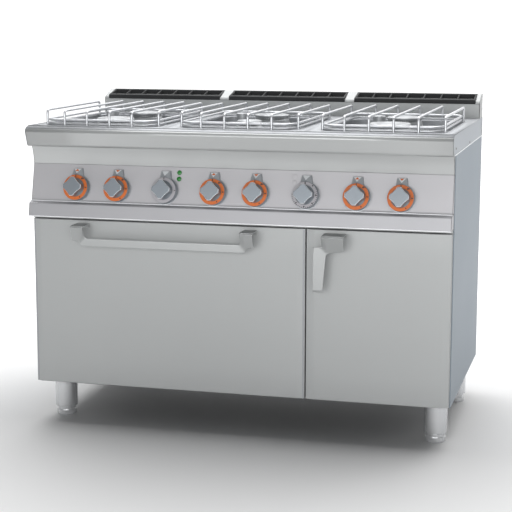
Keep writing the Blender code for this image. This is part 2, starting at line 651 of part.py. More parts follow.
def build_oven():
    """Oven liner with its front frame, door seal, heating elements and a shelf on the ribs."""
    frame = box("frame", (OVEN_LO[0], at_depth(OVEN_FACE), OVEN_LO[1]),
                (OVEN_HI[0], at_depth(OVEN_FACE + SHEET), OVEN_HI[1]), None)
    shell = box("shell", (CAVITY_LO[0] - SHEET, at_depth(OVEN_FACE + SHEET / 2), CAVITY_LO[1] - SHEET),
                (CAVITY_HI[0] + SHEET, at_depth(CAVITY_REAR + SHEET), CAVITY_HI[1] + SHEET), None)
    body = union_of("oven_body", [frame.data, shell.data], ENAMEL)
    for spare in (frame, shell):
        bpy.data.objects.remove(spare, do_unlink=True)
    combine(body, cutter(prism_mesh("cavity", cavity_outline(), OVEN_FACE - 0.02, CAVITY_REAR, "Y")),
            "DIFFERENCE")
    seal_lo = (CAVITY_LO[0] - 0.018, CAVITY_LO[1] - 0.018)
    seal_hi = (CAVITY_HI[0] + 0.018, CAVITY_HI[1] + 0.018)
    seal = box("oven_seal", (seal_lo[0], at_depth(CABINET_FRONT), seal_lo[1]),
               (seal_hi[0], at_depth(OVEN_FACE - GAP), seal_hi[1]), RUBBER)
    hole = [(seal_lo[0] + 0.012, seal_lo[1] + 0.012), (seal_hi[0] - 0.012, seal_lo[1] + 0.012),
            (seal_hi[0] - 0.012, seal_hi[1] - 0.012), (seal_lo[0] + 0.012, seal_hi[1] - 0.012)]
    combine(seal, cutter(prism_mesh("seal_hole", hole, 0.0, 0.1, "Y")), "DIFFERENCE")
    x0, x1, z = CAVITY_LO[0] + 0.060, CAVITY_HI[0] - 0.060, CAVITY_HI[1] - 0.025
    front, rear = at_depth(0.130), at_depth(CAVITY_REAR - 0.001)
    third = (x1 - x0) / 3
    path = [(x0, rear, z), (x0, front, z), (x0 + third, front, z), (x0 + third, rear - 0.08, z),
            (x1 - third, rear - 0.08, z), (x1 - third, front, z), (x1, front, z), (x1, rear, z)]
    add("heating_element", tube_mesh("heating_element", path, 0.0045, 8), STEEL)
    shelf_z = RIB_HEIGHTS[1] + 0.006 + GAP
    x0, x1 = CAVITY_LO[0] + 0.003, CAVITY_HI[0] - 0.003
    y0, y1 = at_depth(0.110), at_depth(CAVITY_REAR - 0.010)
    shelf = box("oven_shelf", (x0, y0, shelf_z), (x1, y1, shelf_z + 0.005), CHROME)
    slots = bmesh.new()
    pitch = (x1 - x0 - 0.012) / 20
    for k in range(20):
        left = x0 + 0.006 + k * pitch + 0.0025
        add_box(slots, (left, y0 + 0.006, shelf_z - 0.01), (left + pitch - 0.005, y1 - 0.006, shelf_z + 0.02))
    combine(shelf, cutter(mesh_of(slots, "shelf_slots")), "DIFFERENCE")


# ---------------------------------------------------------------- doors
DOOR_BACK = CABINET_FRONT - GAP
DOOR_INSET = 0.003
PIN_DROP = 0.0035        # hinge axis below and behind the oven door's lower back edge
PIN_BEHIND = 0.0028


def build_doors():
    """Folded door trays, hung low on the left and sideways on the right. The oven's has a liner."""
    doors = (("oven", -HALF + DOOR_INSET, SPLIT - 0.0015), ("cupboard", SPLIT + 0.0015, HALF - DOOR_INSET))
    for name, x0, x1 in doors:
        open_box(name + "_door_outer", (x0, at_depth(DOOR_FACE), BODY_BOTTOM),
                 (x1, at_depth(DOOR_BACK), DOOR_TOP), (0, 1, 0), STEEL)
    rim = SHEET + GAP
    x0, x1 = doors[0][1:]
    stepped_box("oven_door_liner", (x0 + rim, at_depth(DOOR_FACE + rim), BODY_BOTTOM + rim),
                (x1 - rim, at_depth(DOOR_BACK), DOOR_TOP - rim),
                (CAVITY_LO[0] + 0.012, CAVITY_LO[1] + 0.012),
                (CAVITY_HI[0] - 0.012, CAVITY_HI[1] - 0.012, at_depth(0.080)), STEEL)
    pin_y, pin_z = at_depth(DOOR_BACK + PIN_BEHIND), BODY_BOTTOM - PIN_DROP
    rod = tube_mesh("hinge_rod", [(-HALF + 0.006, pin_y, pin_z), (SPLIT - 0.006, pin_y, pin_z)], 0.003, 12)
    lugs = []
    for x in (-HALF + 0.060, SPLIT - 0.060):
        bm = bmesh.new()
        add_box(bm, (x - 0.015, pin_y, pin_z - 0.0015), (x + 0.015, pin_y + 0.030, pin_z + 0.0015))
        lugs.append(mesh_of(bm, "hinge_lug"))
    union_of("oven_hinge", [rod, *lugs], CHROME)


def build_handles():
    """Handles of folded sheet: a shelf out from the door, a fold, arms down, and a flat grip."""
    thick = 0.0025
    door = at_depth(DOOR_FACE) - GAP - thick / 2
    tip = at_depth(-REACH) + thick * 0.65
    grip = at_depth(-0.006)
    middle = (-HALF + DOOR_INSET + SPLIT - 0.0015) / 2
    shelf_z, fold_z, arm_z, low_z = 0.5885, 0.5870, 0.5530, 0.5300
    rows = []
    for y, z, outer, inner in ((door, shelf_z - 0.010, 0.2635, 0.2265), (door, shelf_z, 0.2635, 0.2265),
                               (tip + 0.004, shelf_z + 0.001, 0.2635, 0.2265),
                               (tip, fold_z - 0.002, 0.2635, 0.2265), (grip, arm_z, 0.2600, 0.2240),
                               (grip, low_z, 0.2360, 0.2200)):
        rows.append([(middle + dx, y, z) for dx in (-outer, -inner, inner, outer)])
    holes = {(r, 1) for r in range(4)}
    folded_sheet("oven_door_handle", rows, holes, thick, CHROME)
    left, right = 0.2350, 0.3150
    rows = []
    columns = ((door, shelf_z - 0.010, 0.2540, 0.2680, right - 0.001),
               (door, shelf_z, 0.2540, 0.2680, right - 0.001),
               (tip + 0.004, shelf_z + 0.001, 0.2540, 0.2680, right - 0.001),
               (tip, fold_z - 0.002, 0.2540, 0.2680, right - 0.001),
               (grip, 0.5600, 0.2300, 0.2680, right - 0.005),
               (grip, 0.5480, 0.2290, 0.2680, 0.2780),
               (grip, 0.4330, 0.2290, 0.2560, 0.2580))
    for y, z, a, b, c in columns:
        rows.append([(a, y, z), (b, y, z), (c, y, z)])
    folded_sheet("cupboard_door_handle", rows, set(), thick, CHROME)


build_base()
build_casing()
build_worktop()
build_wells()
build_front()
build_knobs()
build_gas_rail()
build_burners()
build_supports()
build_riser()
build_oven()
build_doors()
build_handles()
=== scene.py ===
# %% [markdown]
# # A six-burner gas range
# This lesson dresses a working model of a restaurant gas range. The working model, with its
# joints, comes from the frame; here each visible piece gets its fine surface and its finish.
# The frame is loaded first, because every place below is read from it.

# %% Load the frame
import json
import bmesh
import bpy
import numpy as np
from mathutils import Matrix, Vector

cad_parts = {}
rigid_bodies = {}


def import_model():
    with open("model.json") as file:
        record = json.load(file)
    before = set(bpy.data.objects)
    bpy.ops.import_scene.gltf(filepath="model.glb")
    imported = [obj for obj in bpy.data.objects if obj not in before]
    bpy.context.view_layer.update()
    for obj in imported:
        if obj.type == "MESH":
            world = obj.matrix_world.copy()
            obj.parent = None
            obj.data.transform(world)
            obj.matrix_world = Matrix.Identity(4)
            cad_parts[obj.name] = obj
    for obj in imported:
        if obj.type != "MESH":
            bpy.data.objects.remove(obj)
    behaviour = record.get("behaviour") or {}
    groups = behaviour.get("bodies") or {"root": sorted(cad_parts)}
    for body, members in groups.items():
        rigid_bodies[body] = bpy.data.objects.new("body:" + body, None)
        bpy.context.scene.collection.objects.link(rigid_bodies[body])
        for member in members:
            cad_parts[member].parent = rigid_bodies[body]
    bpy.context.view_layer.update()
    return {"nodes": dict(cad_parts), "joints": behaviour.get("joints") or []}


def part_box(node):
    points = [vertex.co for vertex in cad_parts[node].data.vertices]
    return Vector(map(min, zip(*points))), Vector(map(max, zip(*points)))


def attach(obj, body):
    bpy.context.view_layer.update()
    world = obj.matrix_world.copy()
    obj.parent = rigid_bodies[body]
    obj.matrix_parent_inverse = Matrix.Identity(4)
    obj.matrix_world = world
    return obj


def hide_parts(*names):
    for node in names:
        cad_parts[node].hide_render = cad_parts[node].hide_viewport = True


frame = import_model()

joints = {joint["name"]: joint for joint in frame["joints"]}

# %% [markdown]
# ## Landmarks
# The nose of the worktop is the front of the body. All depths are measured back from it, and all
# heights up from the floor, so a folded sheet can be drawn as a short list of (depth, height).

# %% Landmarks read from the frame
top_lo, top_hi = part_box("worktop")
LEFT, RIGHT = top_lo.x, top_hi.x
NOSE = top_lo.y
DECK = top_hi.z
DEPTH = top_hi.y - top_lo.y
SEAM = top_lo.z
riser_lo, riser_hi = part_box("flue_riser")
RISER = riser_lo.y - NOSE
CROWN = riser_hi.z
MODULE = (RIGHT - LEFT) / 3
ZONES = [LEFT + MODULE * (k + 0.5) for k in range(3)]
SHEET = 0.0015
print("body", round(RIGHT - LEFT, 3), "x", round(DEPTH, 3), "deck at", round(DECK, 3))

# %% [markdown]
# ## Surfaces from arrays
# A surface is a grid of points worked out all at once with numpy. Each function below makes one
# kind of grid, and `piece` turns a list of grids into one mesh. Grids that meet share points,
# which are merged, and the faces are then turned to look outwards.


# %% Paths
def unit(v):
    """Each vector divided by its own length."""
    return v / np.maximum(np.linalg.norm(v, axis=-1, keepdims=True), 1e-12)


def rounded(points, cut, steps=6, closed=False):
    """Round the corners of a path.

    Each corner B becomes the curve (1-t)^2 A + 2t(1-t) B + t^2 C, where A and C lie `cut` before
    and after the corner. An open path keeps its two ends.
    """
    p = np.asarray(points, float)
    if closed:
        before, corner, after = np.roll(p, 1, 0), p, np.roll(p, -1, 0)
    else:
        before, corner, after = p[:-2], p[1:-1], p[2:]
    c = np.broadcast_to(np.asarray(cut, float), len(corner))[:, None]
    a = corner - unit(corner - before) * c
    b = corner + unit(after - corner) * c
    t = np.linspace(0, 1, steps)[None, :, None]
    arc = (1 - t) ** 2 * a[:, None] + 2 * t * (1 - t) * corner[:, None] + t ** 2 * b[:, None]
    arc = arc.reshape(-1, p.shape[1])
    return arc if closed else np.vstack([p[:1], arc, p[-1:]])


def thickened(path, thickness):
    """A closed section: the path, and the same path shifted sideways by the thickness."""
    step = unit(np.diff(path, axis=0))
    side = np.stack([-step[:, 1], step[:, 0]], 1)
    at = unit(np.vstack([side[:1], side[:-1] + side[1:], side[-1:]]))
    lean = np.vstack([side[:1], side])
    stretch = 1 / np.clip((at * lean).sum(1, keepdims=True), 0.5, 1)
    return np.vstack([path, (path + at * stretch * thickness)[::-1]])


def held(path, gap=0.0008):
    """The path with one more point `gap` from both ends of each long straight.

    Smooth shading blends across a whole face. The extra points keep that blend next to the fold.
    """
    path = np.asarray(path, float)
    pieces = [path[:1]]
    for start, end in zip(path[:-1], path[1:]):
        if np.linalg.norm(end - start) > 8 * gap:
            step = unit(end - start) * gap
            pieces.append(np.array([start + step, end - step]))
        pieces.append(end[None])
    return np.vstack(pieces)


print("a rounded corner has", len(rounded([(0, 0), (1, 0), (1, 1)], 0.1)) - 2, "points")

# %% [markdown]
# ### Carried and turned grids
# Folded sheet has one section all along, so most of the range is a section carried along a line.
# Knobs, feet and burners are round, so their profile is turned about Z instead.


# %% Grids
def along_x(section, xs):
    """Carry a (depth, height) section through each x: one row of points for each."""
    section = held(section)
    grid = np.zeros((len(xs), len(section), 3))
    grid[..., 0] = np.asarray(xs, float)[:, None]
    grid[..., 1] = NOSE + section[:, 0]
    grid[..., 2] = section[:, 1]
    return grid


def along_z(section, zs):
    """Carry an (x, y) section through each height."""
    section = held(section)
    grid = np.zeros((len(zs), len(section), 3))
    grid[..., :2] = section
    grid[..., 2] = np.asarray(zs, float)[:, None]
    return grid


def turned(profile, sides=48, reach=None):
    """Turn (radius, height) points about Z. `reach` may change the radius with the angle."""
    profile = held(profile)
    angle = np.arange(sides) * 2 * np.pi / sides
    radius = profile[:, :1] * np.ones(sides) if reach is None else reach(profile, angle)
    return np.stack([radius * np.cos(angle), radius * np.sin(angle),
                     profile[:, 1:2] * np.ones(sides)], -1)


def wire(path, radius, flat, closed=False, sides=12):
    """A round wire along an open or closed path in one plane: circles square to the path.

    `flat` is the plane's normal; a point is path + r (cos a * flat + sin a * (along x flat)).
    """
    path = np.asarray(path, float)
    if closed:
        along = unit(np.roll(path, -1, 0) - np.roll(path, 1, 0))
    else:
        step = unit(np.diff(path, axis=0))
        along = unit(np.vstack([step[:1], step[:-1] + step[1:], step[-1:]]))
    flat = np.asarray(flat, float)
    side = unit(np.cross(along, flat))
    angle = np.arange(sides)[None, :, None] * 2 * np.pi / sides
    return path[:, None] + radius * (np.cos(angle) * flat + np.sin(angle) * side[:, None])


def moved(grid, origin, x=(1, 0, 0), y=(0, 1, 0), z=(0, 0, 1)):
    """The grid in a frame with this origin and these three directions."""
    grid = np.asarray(grid, float)
    return np.asarray(origin, float) + grid @ np.array([x, y, z], float)


print("a turned grid is", turned([(1, 0), (1, 1)]).shape)

# %% [markdown]
# ### Faces from a grid
# Four neighbouring points make a face. A grid can stay open, close to a tube, or close both ways.


# %% Faces
def quads(rows, columns, wrap_rows=False, wrap_columns=False):
    """Corner numbers of the faces of a grid, as one array."""
    i = np.arange(rows if wrap_rows else rows - 1)[:, None]
    j = np.arange(columns if wrap_columns else columns - 1)[None, :]
    i2, j2 = (i + 1) % rows, (j + 1) % columns
    corners = [i * columns + j, i * columns + j2, i2 * columns + j2, i2 * columns + j]
    return np.stack(np.broadcast_arrays(*corners), -1).reshape(-1, 4)


def sheet_of(grid):
    """An open grid."""
    return grid.reshape(-1, 3), quads(*grid.shape[:2]).tolist()


def tube_of(grid, ends=True):
    """A grid whose rows are closed loops, with its two ends closed by flat faces."""
    rows, columns = grid.shape[:2]
    faces = quads(rows, columns, wrap_columns=True).tolist()
    if ends:
        faces += [list(range(columns)), list(range((rows - 1) * columns, rows * columns))]
    return grid.reshape(-1, 3), faces


def torus_of(grid):
    """A grid closed both ways."""
    return grid.reshape(-1, 3), quads(*grid.shape[:2], True, True).tolist()


def block(lo, hi):
    """A box as a carried rectangle."""
    lo, hi = np.asarray(lo, float), np.asarray(hi, float)
    section = np.array([(lo[0], lo[1]), (hi[0], lo[1]), (hi[0], hi[1]), (lo[0], hi[1])])
    return tube_of(along_z(section, (lo[2], hi[2])))


def bar(section, xs):
    """A closed section carried along X."""
    return tube_of(along_x(section, xs))


def folded(path, xs, thickness=SHEET):
    """A folded sheet carried along X: a path with its thickness."""
    return bar(thickened(np.asarray(path, float), thickness), xs)


print("a block has", len(block((0, 0, 0), (1, 1, 1))[1]), "faces")

# %% [markdown]
# ### One mesh for each piece
# `piece` joins grids to a mesh, merges shared points, and tells the frame what body it rides on.

# %% Pieces
made = {}
told = set()


def tell(title):
    """Print how many pieces a cell has made, and how many faces they have."""
    fresh = [name for name in made if name not in told]
    told.update(fresh)
    print(title + ":", len(fresh), "pieces,", sum(len(made[name].data.polygons) for name in fresh), "faces")


def piece(name, parts, body, look, stands_for=(), edge=0.0, wall=0.0, crisp=35, edge_highlight=None):
    """Join the parts into one mesh and hand it to its body and its finish.

    `wall` thickens an open sheet inwards, `edge` bevels its sharp edges, and `edge_highlight` is
    the bright finish of those bevels, a painted highlight along the edges.
    """
    points, faces, start = [], [], 0
    for part_points, part_faces in parts:
        points.append(part_points)
        faces += [[corner + start for corner in face] for face in part_faces]
        start += len(part_points)
    mesh = bpy.data.meshes.new(name)
    mesh.from_pydata(np.vstack(points), [], faces)
    bm = bmesh.new()
    bm.from_mesh(mesh)
    bmesh.ops.remove_doubles(bm, verts=bm.verts, dist=2e-6)
    bmesh.ops.dissolve_degenerate(bm, edges=bm.edges, dist=1e-6)
    bmesh.ops.recalc_face_normals(bm, faces=bm.faces)
    middle = sum((v.co for v in bm.verts), Vector()) / len(bm.verts)
    if wall and sum(f.normal.dot(f.calc_center_median() - middle) * f.calc_area() for f in bm.faces) < 0:
        bmesh.ops.reverse_faces(bm, faces=bm.faces)
    bm.to_mesh(mesh)
    bm.free()
    mesh.shade_smooth()
    mesh.set_sharp_from_angle(angle=np.radians(crisp))
    made_piece = bpy.data.objects.new(name, mesh)
    bpy.context.scene.collection.objects.link(made_piece)
    mesh.materials.append(look)
    if wall:
        thick = made_piece.modifiers.new("wall", "SOLIDIFY")
        thick.thickness = wall
        thick.offset = -1
    if edge:
        bevel = made_piece.modifiers.new("edge", "BEVEL")
        bevel.width = edge
        bevel.limit_method = "ANGLE"
        bevel.angle_limit = np.radians(50)
        if edge_highlight:
            mesh.materials.append(edge_highlight)
            bevel.material = 1
    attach(made_piece, body)
    if stands_for:
        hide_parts(*stands_for)
    made[name] = made_piece


# %% [markdown]
# ## Finishes
# A finish is a small network of nodes. `Wire` holds one output, and its operators add Math nodes,
# so a network reads like ordinary arithmetic. `Finish.node` adds any other node.


# %% A socket class and a finish class
class Wire:
    """One output socket; arithmetic on it adds Math nodes."""

    def __init__(self, finish, socket):
        self.finish = finish
        self.socket = socket

    def math(self, operation, *values):
        """One Math node on the given values."""
        return self.finish.node("ShaderNodeMath", {"operation": operation}, dict(enumerate(values)))

    def __add__(self, other):
        return self.math("ADD", self, other)

    def __mul__(self, other):
        return self.math("MULTIPLY", self, other)

    __radd__ = __add__
    __rmul__ = __mul__


class Finish:
    """A material built round one Principled shader."""

    def __init__(self, name, **fixed):
        self.material = bpy.data.materials.new(name)
        self.material.use_nodes = True
        self.tree = self.material.node_tree
        self.shader = self.tree.nodes["Principled BSDF"]
        self.set(**fixed)

    def set(self, **inputs):
        """Give the shader's inputs a number, a colour or a wire; underscores stand for spaces."""
        for key, value in inputs.items():
            self.feed(self.shader.inputs[key.replace("_", " ")], value)

    def feed(self, socket, value):
        """Link a wire to a socket, or write a plain value into it."""
        if isinstance(value, Wire):
            self.tree.links.new(value.socket, socket)
        elif isinstance(value, (tuple, list)) and len(value) == 3 and socket.type == "RGBA":
            socket.default_value = (*value, 1)
        else:
            socket.default_value = value

    def node(self, kind, settings=None, inputs=None, output=0):
        """Add one node: settings first, then its inputs."""
        node = self.tree.nodes.new(kind)
        for key, value in (settings or {}).items():
            setattr(node, key, value)
        for key, value in (inputs or {}).items():
            self.feed(node.inputs[key], value)
        return Wire(self, node.outputs[output])

    def place(self, scale=(1, 1, 1)):
        """Object coordinates, stretched by the three scales."""
        here = self.node("ShaderNodeTexCoord", output="Object")
        return self.node("ShaderNodeMapping", {}, {"Vector": here, "Scale": scale})

    def noise(self, scale, stretch=(1, 1, 1), detail=3.0, rough=0.5):
        """Cloudy noise between 0 and 1."""
        return self.node("ShaderNodeTexNoise", {}, {"Vector": self.place(stretch), "Scale": scale,
                                                    "Detail": detail, "Roughness": rough})

    def between(self, factor, low, high):
        """A colour that runs from low to high."""
        return self.node("ShaderNodeMix", {"data_type": "RGBA"}, {0: factor, 6: low, 7: high}, 2)

    def bump(self, height, strength, distance=0.001):
        """A small relief."""
        return self.node("ShaderNodeBump", {}, {"Height": height, "Strength": strength,
                                                "Distance": distance})


def tone(colour, amount):
    """A colour made lighter or darker."""
    return tuple(min(1.0, c * amount) for c in colour)


print("mid grey made lighter:", tone((0.5, 0.5, 0.5), 1.2))

# %% [markdown]
# ### Brushed and polished steel
# Brushing leaves fine lines along one direction, so the noise is squeezed across the lines.
# A second, large noise makes the slow smudges that wiping leaves. Both stay faint: the sheet
# must still read as one even grey.


# %% Steel finishes
def brushed(name, colour, roughness, metallic, lines=(4, 260, 260), grain=0.03, smudge=0.05):
    """Satin sheet: fine lines in roughness and relief, slow smudges in colour and roughness."""
    look = Finish(name, Metallic=metallic)
    fine = look.noise(6.0, lines, 4.0, 0.6)
    slow = look.noise(3.5, (1, 1, 1), 3.0, 0.5)
    mix = fine * 0.5 + slow * 0.5
    look.set(Base_Color=look.between(mix, tone(colour, 1 - smudge), tone(colour, 1 + smudge)),
             Roughness=fine * 0.08 + slow * 0.10 + (roughness - 0.09),
             Normal=look.bump(fine, grain))
    return look.material


def polished(name, colour, roughness, metallic=1.0):
    """Bright drawn metal: faint handling marks in its roughness and slow clouds in its colour."""
    look = Finish(name, Metallic=metallic)
    marks = look.noise(40.0, (1, 1, 1), 4.0, 0.6)
    slow = look.noise(7.0)
    look.set(Base_Color=look.between(slow, tone(colour, 0.96), tone(colour, 1.03)),
             Roughness=marks * 0.04 + (roughness - 0.02))
    return look.material


def moulded(name, colour, roughness, speckle=0.06, grain=300.0, relief=0.05):
    """Moulded plastic, enamel or a casting: an even colour with a fine relief."""
    look = Finish(name)
    fine = look.noise(grain, (1, 1, 1), 3.0, 0.6)
    slow = look.noise(9.0)
    look.set(Base_Color=look.between(fine * 0.5 + slow * 0.5, tone(colour, 1 - speckle),
                                     tone(colour, 1 + speckle)),
             Roughness=slow * 0.10 + (roughness - 0.05), Normal=look.bump(fine, relief))
    return look.material

# %% [markdown]
# ### The finishes of this range
# Each sheet has a grey of its own, set sheet by sheet to match how bright it looks. So the greys
# are partly painted light: lit and shaded copies of one steel. The lit steel of the nose and cove,
# and the lighter cheeks over the darker sides, are the plainest.

# %% Named finishes
FRONT_STEEL = brushed("front steel", (0.375, 0.385, 0.385), 0.48, 0.25)
LIT_STEEL = brushed("pale steel", (0.44, 0.45, 0.45), 0.36, 0.45)
CHEEK_STEEL = brushed("cheek steel", (0.33, 0.355, 0.385), 0.50, 0.40)
PANEL_STEEL = brushed("panel steel", (0.43, 0.425, 0.44), 0.48, 0.45)
DECK_STEEL = brushed("deck steel", (0.31, 0.32, 0.335), 0.50, 0.50, grain=0.006, smudge=0.03)
SIDE_STEEL = brushed("side steel", (0.26, 0.295, 0.33), 0.60, 0.35, lines=(260, 4, 260))
SHADE_DARK_STEEL = brushed("dull steel", (0.16, 0.165, 0.17), 0.60, 0.60)
BRIGHT = polished("bright steel", (0.54, 0.55, 0.57), 0.27)
WIRE_STEEL = polished("support wire", (0.60, 0.61, 0.63), 0.40, 0.80)
LEG_STEEL = polished("leg steel", (0.66, 0.67, 0.68), 0.22, 0.72)
RAIL_STEEL = brushed("rail steel", (0.37, 0.37, 0.385), 0.46, 0.45)
HANDLE = brushed("handle steel", (0.37, 0.38, 0.38), 0.36, 0.60, lines=(260, 4, 260))
BURNER = polished("burner metal", (0.38, 0.39, 0.40), 0.48, 0.60)
CAST = moulded("black casting", (0.018, 0.019, 0.020), 0.78, 0.2, 220.0, 0.15)
ENAMEL = moulded("oven enamel", (0.045, 0.048, 0.055), 0.22, 0.35, 90.0, 0.03)
# A near-white metal used only to paint highlights on edges and folds.
PAINTED_HIGHLIGHT = polished("polished bead", (0.80, 0.81, 0.83), 0.40, 0.3)
KNOB_GREY = polished("knob silver", (0.225, 0.25, 0.275), 0.32, 0.5)
TAB_GREY = polished("tab silver", (0.42, 0.44, 0.46), 0.32, 0.5)
# The tab's bright plate paints the highlight on its upper slope.
TAB_HIGHLIGHT = polished("tab window", (0.80, 0.82, 0.84), 0.30, 0.3)
ORANGE = moulded("dial orange", (0.57, 0.130, 0.018), 0.5, 0.05)
DIAL_GREY = moulded("dial grey", (0.36, 0.35, 0.37), 0.42, 0.05)
PRINT = moulded("dial print", (0.02, 0.02, 0.022), 0.5, 0.1)
GREEN = moulded("lamp green", (0.025, 0.19, 0.035), 0.25, 0.08, 60.0, 0.0)
RUBBER = moulded("seal rubber", (0.03, 0.03, 0.03), 0.7, 0.15)
BRASS = polished("drawn brass", (0.55, 0.38, 0.14), 0.32)
SHEATH = polished("element sheath", (0.22, 0.20, 0.19), 0.42, 0.9)
print("finishes:", ", ".join(material.name for material in bpy.data.materials))

# %% [markdown]
# ## Worktop
# The real top is one pressed sheet. Its nose is a soft roll, and each burner pair sits in a deep
# drawn well with a rolled lip and a rounded foot. Rings of points run round each well from the
# lip down to the floor; outside the lip, a flat ring reaches out to the edges of its module.

# %% Wells
WELL_X, WELL_Y = 0.168, 0.239
WELL_MID = 0.305
WELL_CORNER = 0.035
WELL_DEEP = 0.035
FLAT_START = 0.022
NOSE_DROP = 0.0164
INSET = 0.0012
LIP_ROLL, FOOT_ROLL = 0.004, 0.012
RING_POINTS = 10


def ring_outline(cx, cy, half_x, half_y, radius, steps=RING_POINTS):
    """A rectangle with round corners: four centres, and a quarter circle about each."""
    quarter = np.arange(4)[:, None] * np.pi / 2
    turn = quarter + np.linspace(0, np.pi / 2, steps)[None]
    sx = np.array([1, -1, -1, 1])[:, None]
    sy = np.array([1, 1, -1, -1])[:, None]
    x = cx + sx * (half_x - radius) + radius * np.cos(turn)
    y = cy + sy * (half_y - radius) + radius * np.sin(turn)
    return np.stack([x, y], -1).reshape(-1, 2)


def well_rings(cx):
    """Rings from the lip to the floor of one well: (inset, drop) pairs carried round the outline."""
    roll = np.linspace(0, np.pi / 2, 6)
    draft = 0.002
    inset = np.concatenate([LIP_ROLL * np.sin(roll), LIP_ROLL + draft + FOOT_ROLL * (1 - np.cos(roll))])
    drop = np.concatenate([LIP_ROLL * (1 - np.cos(roll)), WELL_DEEP - FOOT_ROLL + FOOT_ROLL * np.sin(roll)])
    rings = []
    for into, down in zip(inset - LIP_ROLL, drop):
        outline = ring_outline(cx, NOSE + WELL_MID, WELL_X - into, WELL_Y - into, WELL_CORNER - into)
        rings.append(np.column_stack([outline, np.full(len(outline), DECK - down)]))
    return np.array(rings)


def module_plate(cx, lip_ring):
    """The flat ring between a module's edges and its well's lip; corners of the edge repeat.

    A guard ring just outside the lip keeps the shading of the flat part flat.
    """
    edge = ring_outline(cx, NOSE + (FLAT_START + DEPTH) / 2, MODULE / 2, (DEPTH - FLAT_START) / 2, 0.0)
    middle = (cx, NOSE + WELL_MID, DECK)
    guard = middle + (lip_ring - middle) * (1.008, 1.006, 1)
    return np.array([np.column_stack([edge, np.full(len(edge), DECK)]), guard, lip_ring])


print("points round a well:", len(ring_outline(0, 0, WELL_X, WELL_Y, WELL_CORNER)))

# %% [markdown]
# ### Deck, nose and end plates
# The roll over the nose is a quarter of an ellipse: x = a (1 - sin t), z = -b (1 - cos t). Its
# upper half takes the deck's darker steel and its lower half the lit steel of the face under it, so
# the roll's highlight is painted as a bright line lower down. The end plates sit a little in from
# the sides, so the screw heads have room, and a bright strip over the seam at each side panel
# paints the highlight along that edge.

# %% Deck and nose
turn = np.linspace(0, np.pi / 2, 10)
nose_roll = np.column_stack([FLAT_START * (1 - np.sin(turn)), DECK - NOSE_DROP * (1 - np.cos(turn))])
nose_under = rounded([(0.0, DECK - NOSE_DROP), (0.0138, DECK - 0.0524), (0.0180, SEAM + 0.0006),
                      (0.0400, SEAM + 0.0006)], (0.004, 0.002))
nose_path = np.vstack([nose_roll, nose_under[1:]])
edges_x = [LEFT + MODULE * k for k in range(4)]
parts = []
for cx in ZONES:
    rings = well_rings(cx)
    parts.append(tube_of(module_plate(cx, rings[0]), ends=False))
    well_points, well_faces = tube_of(rings)
    parts.append((well_points, well_faces[:-2] + well_faces[-1:]))
piece("worktop_deck", parts, "cabinet", DECK_STEEL,
      ["worktop", "well_pan_1", "well_pan_2", "well_pan_3"], wall=SHEET)
# The roll is split in two finishes, darker above and lighter below: a painted highlight along the nose.
crest = len(nose_roll) // 2 + 1
piece("worktop_crest", [sheet_of(along_x(nose_path[:crest], edges_x))], "cabinet",
      DECK_STEEL, wall=SHEET)
piece("worktop_nose", [sheet_of(along_x(nose_path[crest - 1:], edges_x))], "cabinet",
      LIT_STEEL, ["worktop"], wall=SHEET)
piece("worktop_back", [folded([(DEPTH, DECK - 0.0002), (DEPTH, SEAM)], (LEFT, RIGHT), -SHEET)],
      "cabinet", FRONT_STEEL)
side_outline = np.vstack([nose_path, [(DEPTH, SEAM), (DEPTH, DECK)]])
piece("worktop_cheeks", [bar(side_outline, ends) for ends in
                         ((LEFT + INSET, LEFT + INSET + SHEET), (RIGHT - INSET - SHEET, RIGHT - INSET))],
      "cabinet", CHEEK_STEEL)
# A bright strip over each side seam: a painted highlight along that edge.
seam_path = np.array([(0.0230, SEAM + 0.0003), (DEPTH, SEAM + 0.0003), (DEPTH, SEAM + 0.0026),
                      (0.0230, SEAM + 0.0026)])
piece("seam_beads", [bar(seam_path, ends) for ends in
                     ((LEFT, LEFT + INSET + 0.0002), (RIGHT - INSET - 0.0002, RIGHT))],
      "cabinet", PAINTED_HIGHLIGHT)
tell("worktop")

# %% [markdown]
# ## Control panel and rail
# Both are folded from sheet, so each is one path with rounded folds, given its thickness and
# carried along X. Two cheeks close the ends of each. A slim bright strip runs along the upper and
# the lower edge of the rail, and paints the highlight that a real fold there catches.

# %% Folded front sheets
CHEEK = 0.0023
BACK_EDGE = 0.0572
FOLD = 0.7545
cove_path = rounded([(0.0411, SEAM - 0.0006), (0.0490, 0.7850), (0.0548, FOLD + 0.0002)], 0.012)
panel_path = rounded([(0.0600, FOLD + 0.0002), (0.0548, FOLD), (0.0310, 0.6548), (0.0292, 0.6516),
                      (0.0460, 0.6512)], (0.0012, 0.0022, 0.0008))
rail_path = rounded([(0.0560, 0.6508), (0.0300, 0.6508), (0.0134, 0.6464), (0.0062, 0.6099),
                     (0.0075, 0.6088), (0.0560, 0.6088)], (0.002, 0.0030, 0.0008, 0.0006))
inner_x = (LEFT + CHEEK, RIGHT - CHEEK)


def cheeks(path, back):
    """Flat end plates: the path closed by an upright line at the back."""
    outline = np.vstack([path, [(back, path[-1][1]), (back, path[0][1])]])
    return [bar(outline, (inner_x[0], inner_x[0] + SHEET)), bar(outline, (inner_x[1] - SHEET, inner_x[1]))]


# The cove takes the lighter steel of the nose: painted light, not a finish of its own.
piece("cove_sheet", [folded(cove_path, inner_x), *cheeks(cove_path, BACK_EDGE)],
      "cabinet", LIT_STEEL, ["control_panel"])
piece("control_panel_sheet", [folded(panel_path, inner_x), *cheeks(panel_path[1:], BACK_EDGE)],
      "cabinet", PANEL_STEEL, ["control_panel"])
piece("lower_rail_sheet", [folded(rail_path, inner_x), *cheeks(rail_path[3:-3], BACK_EDGE)],
      "cabinet", RAIL_STEEL, ["lower_rail"])
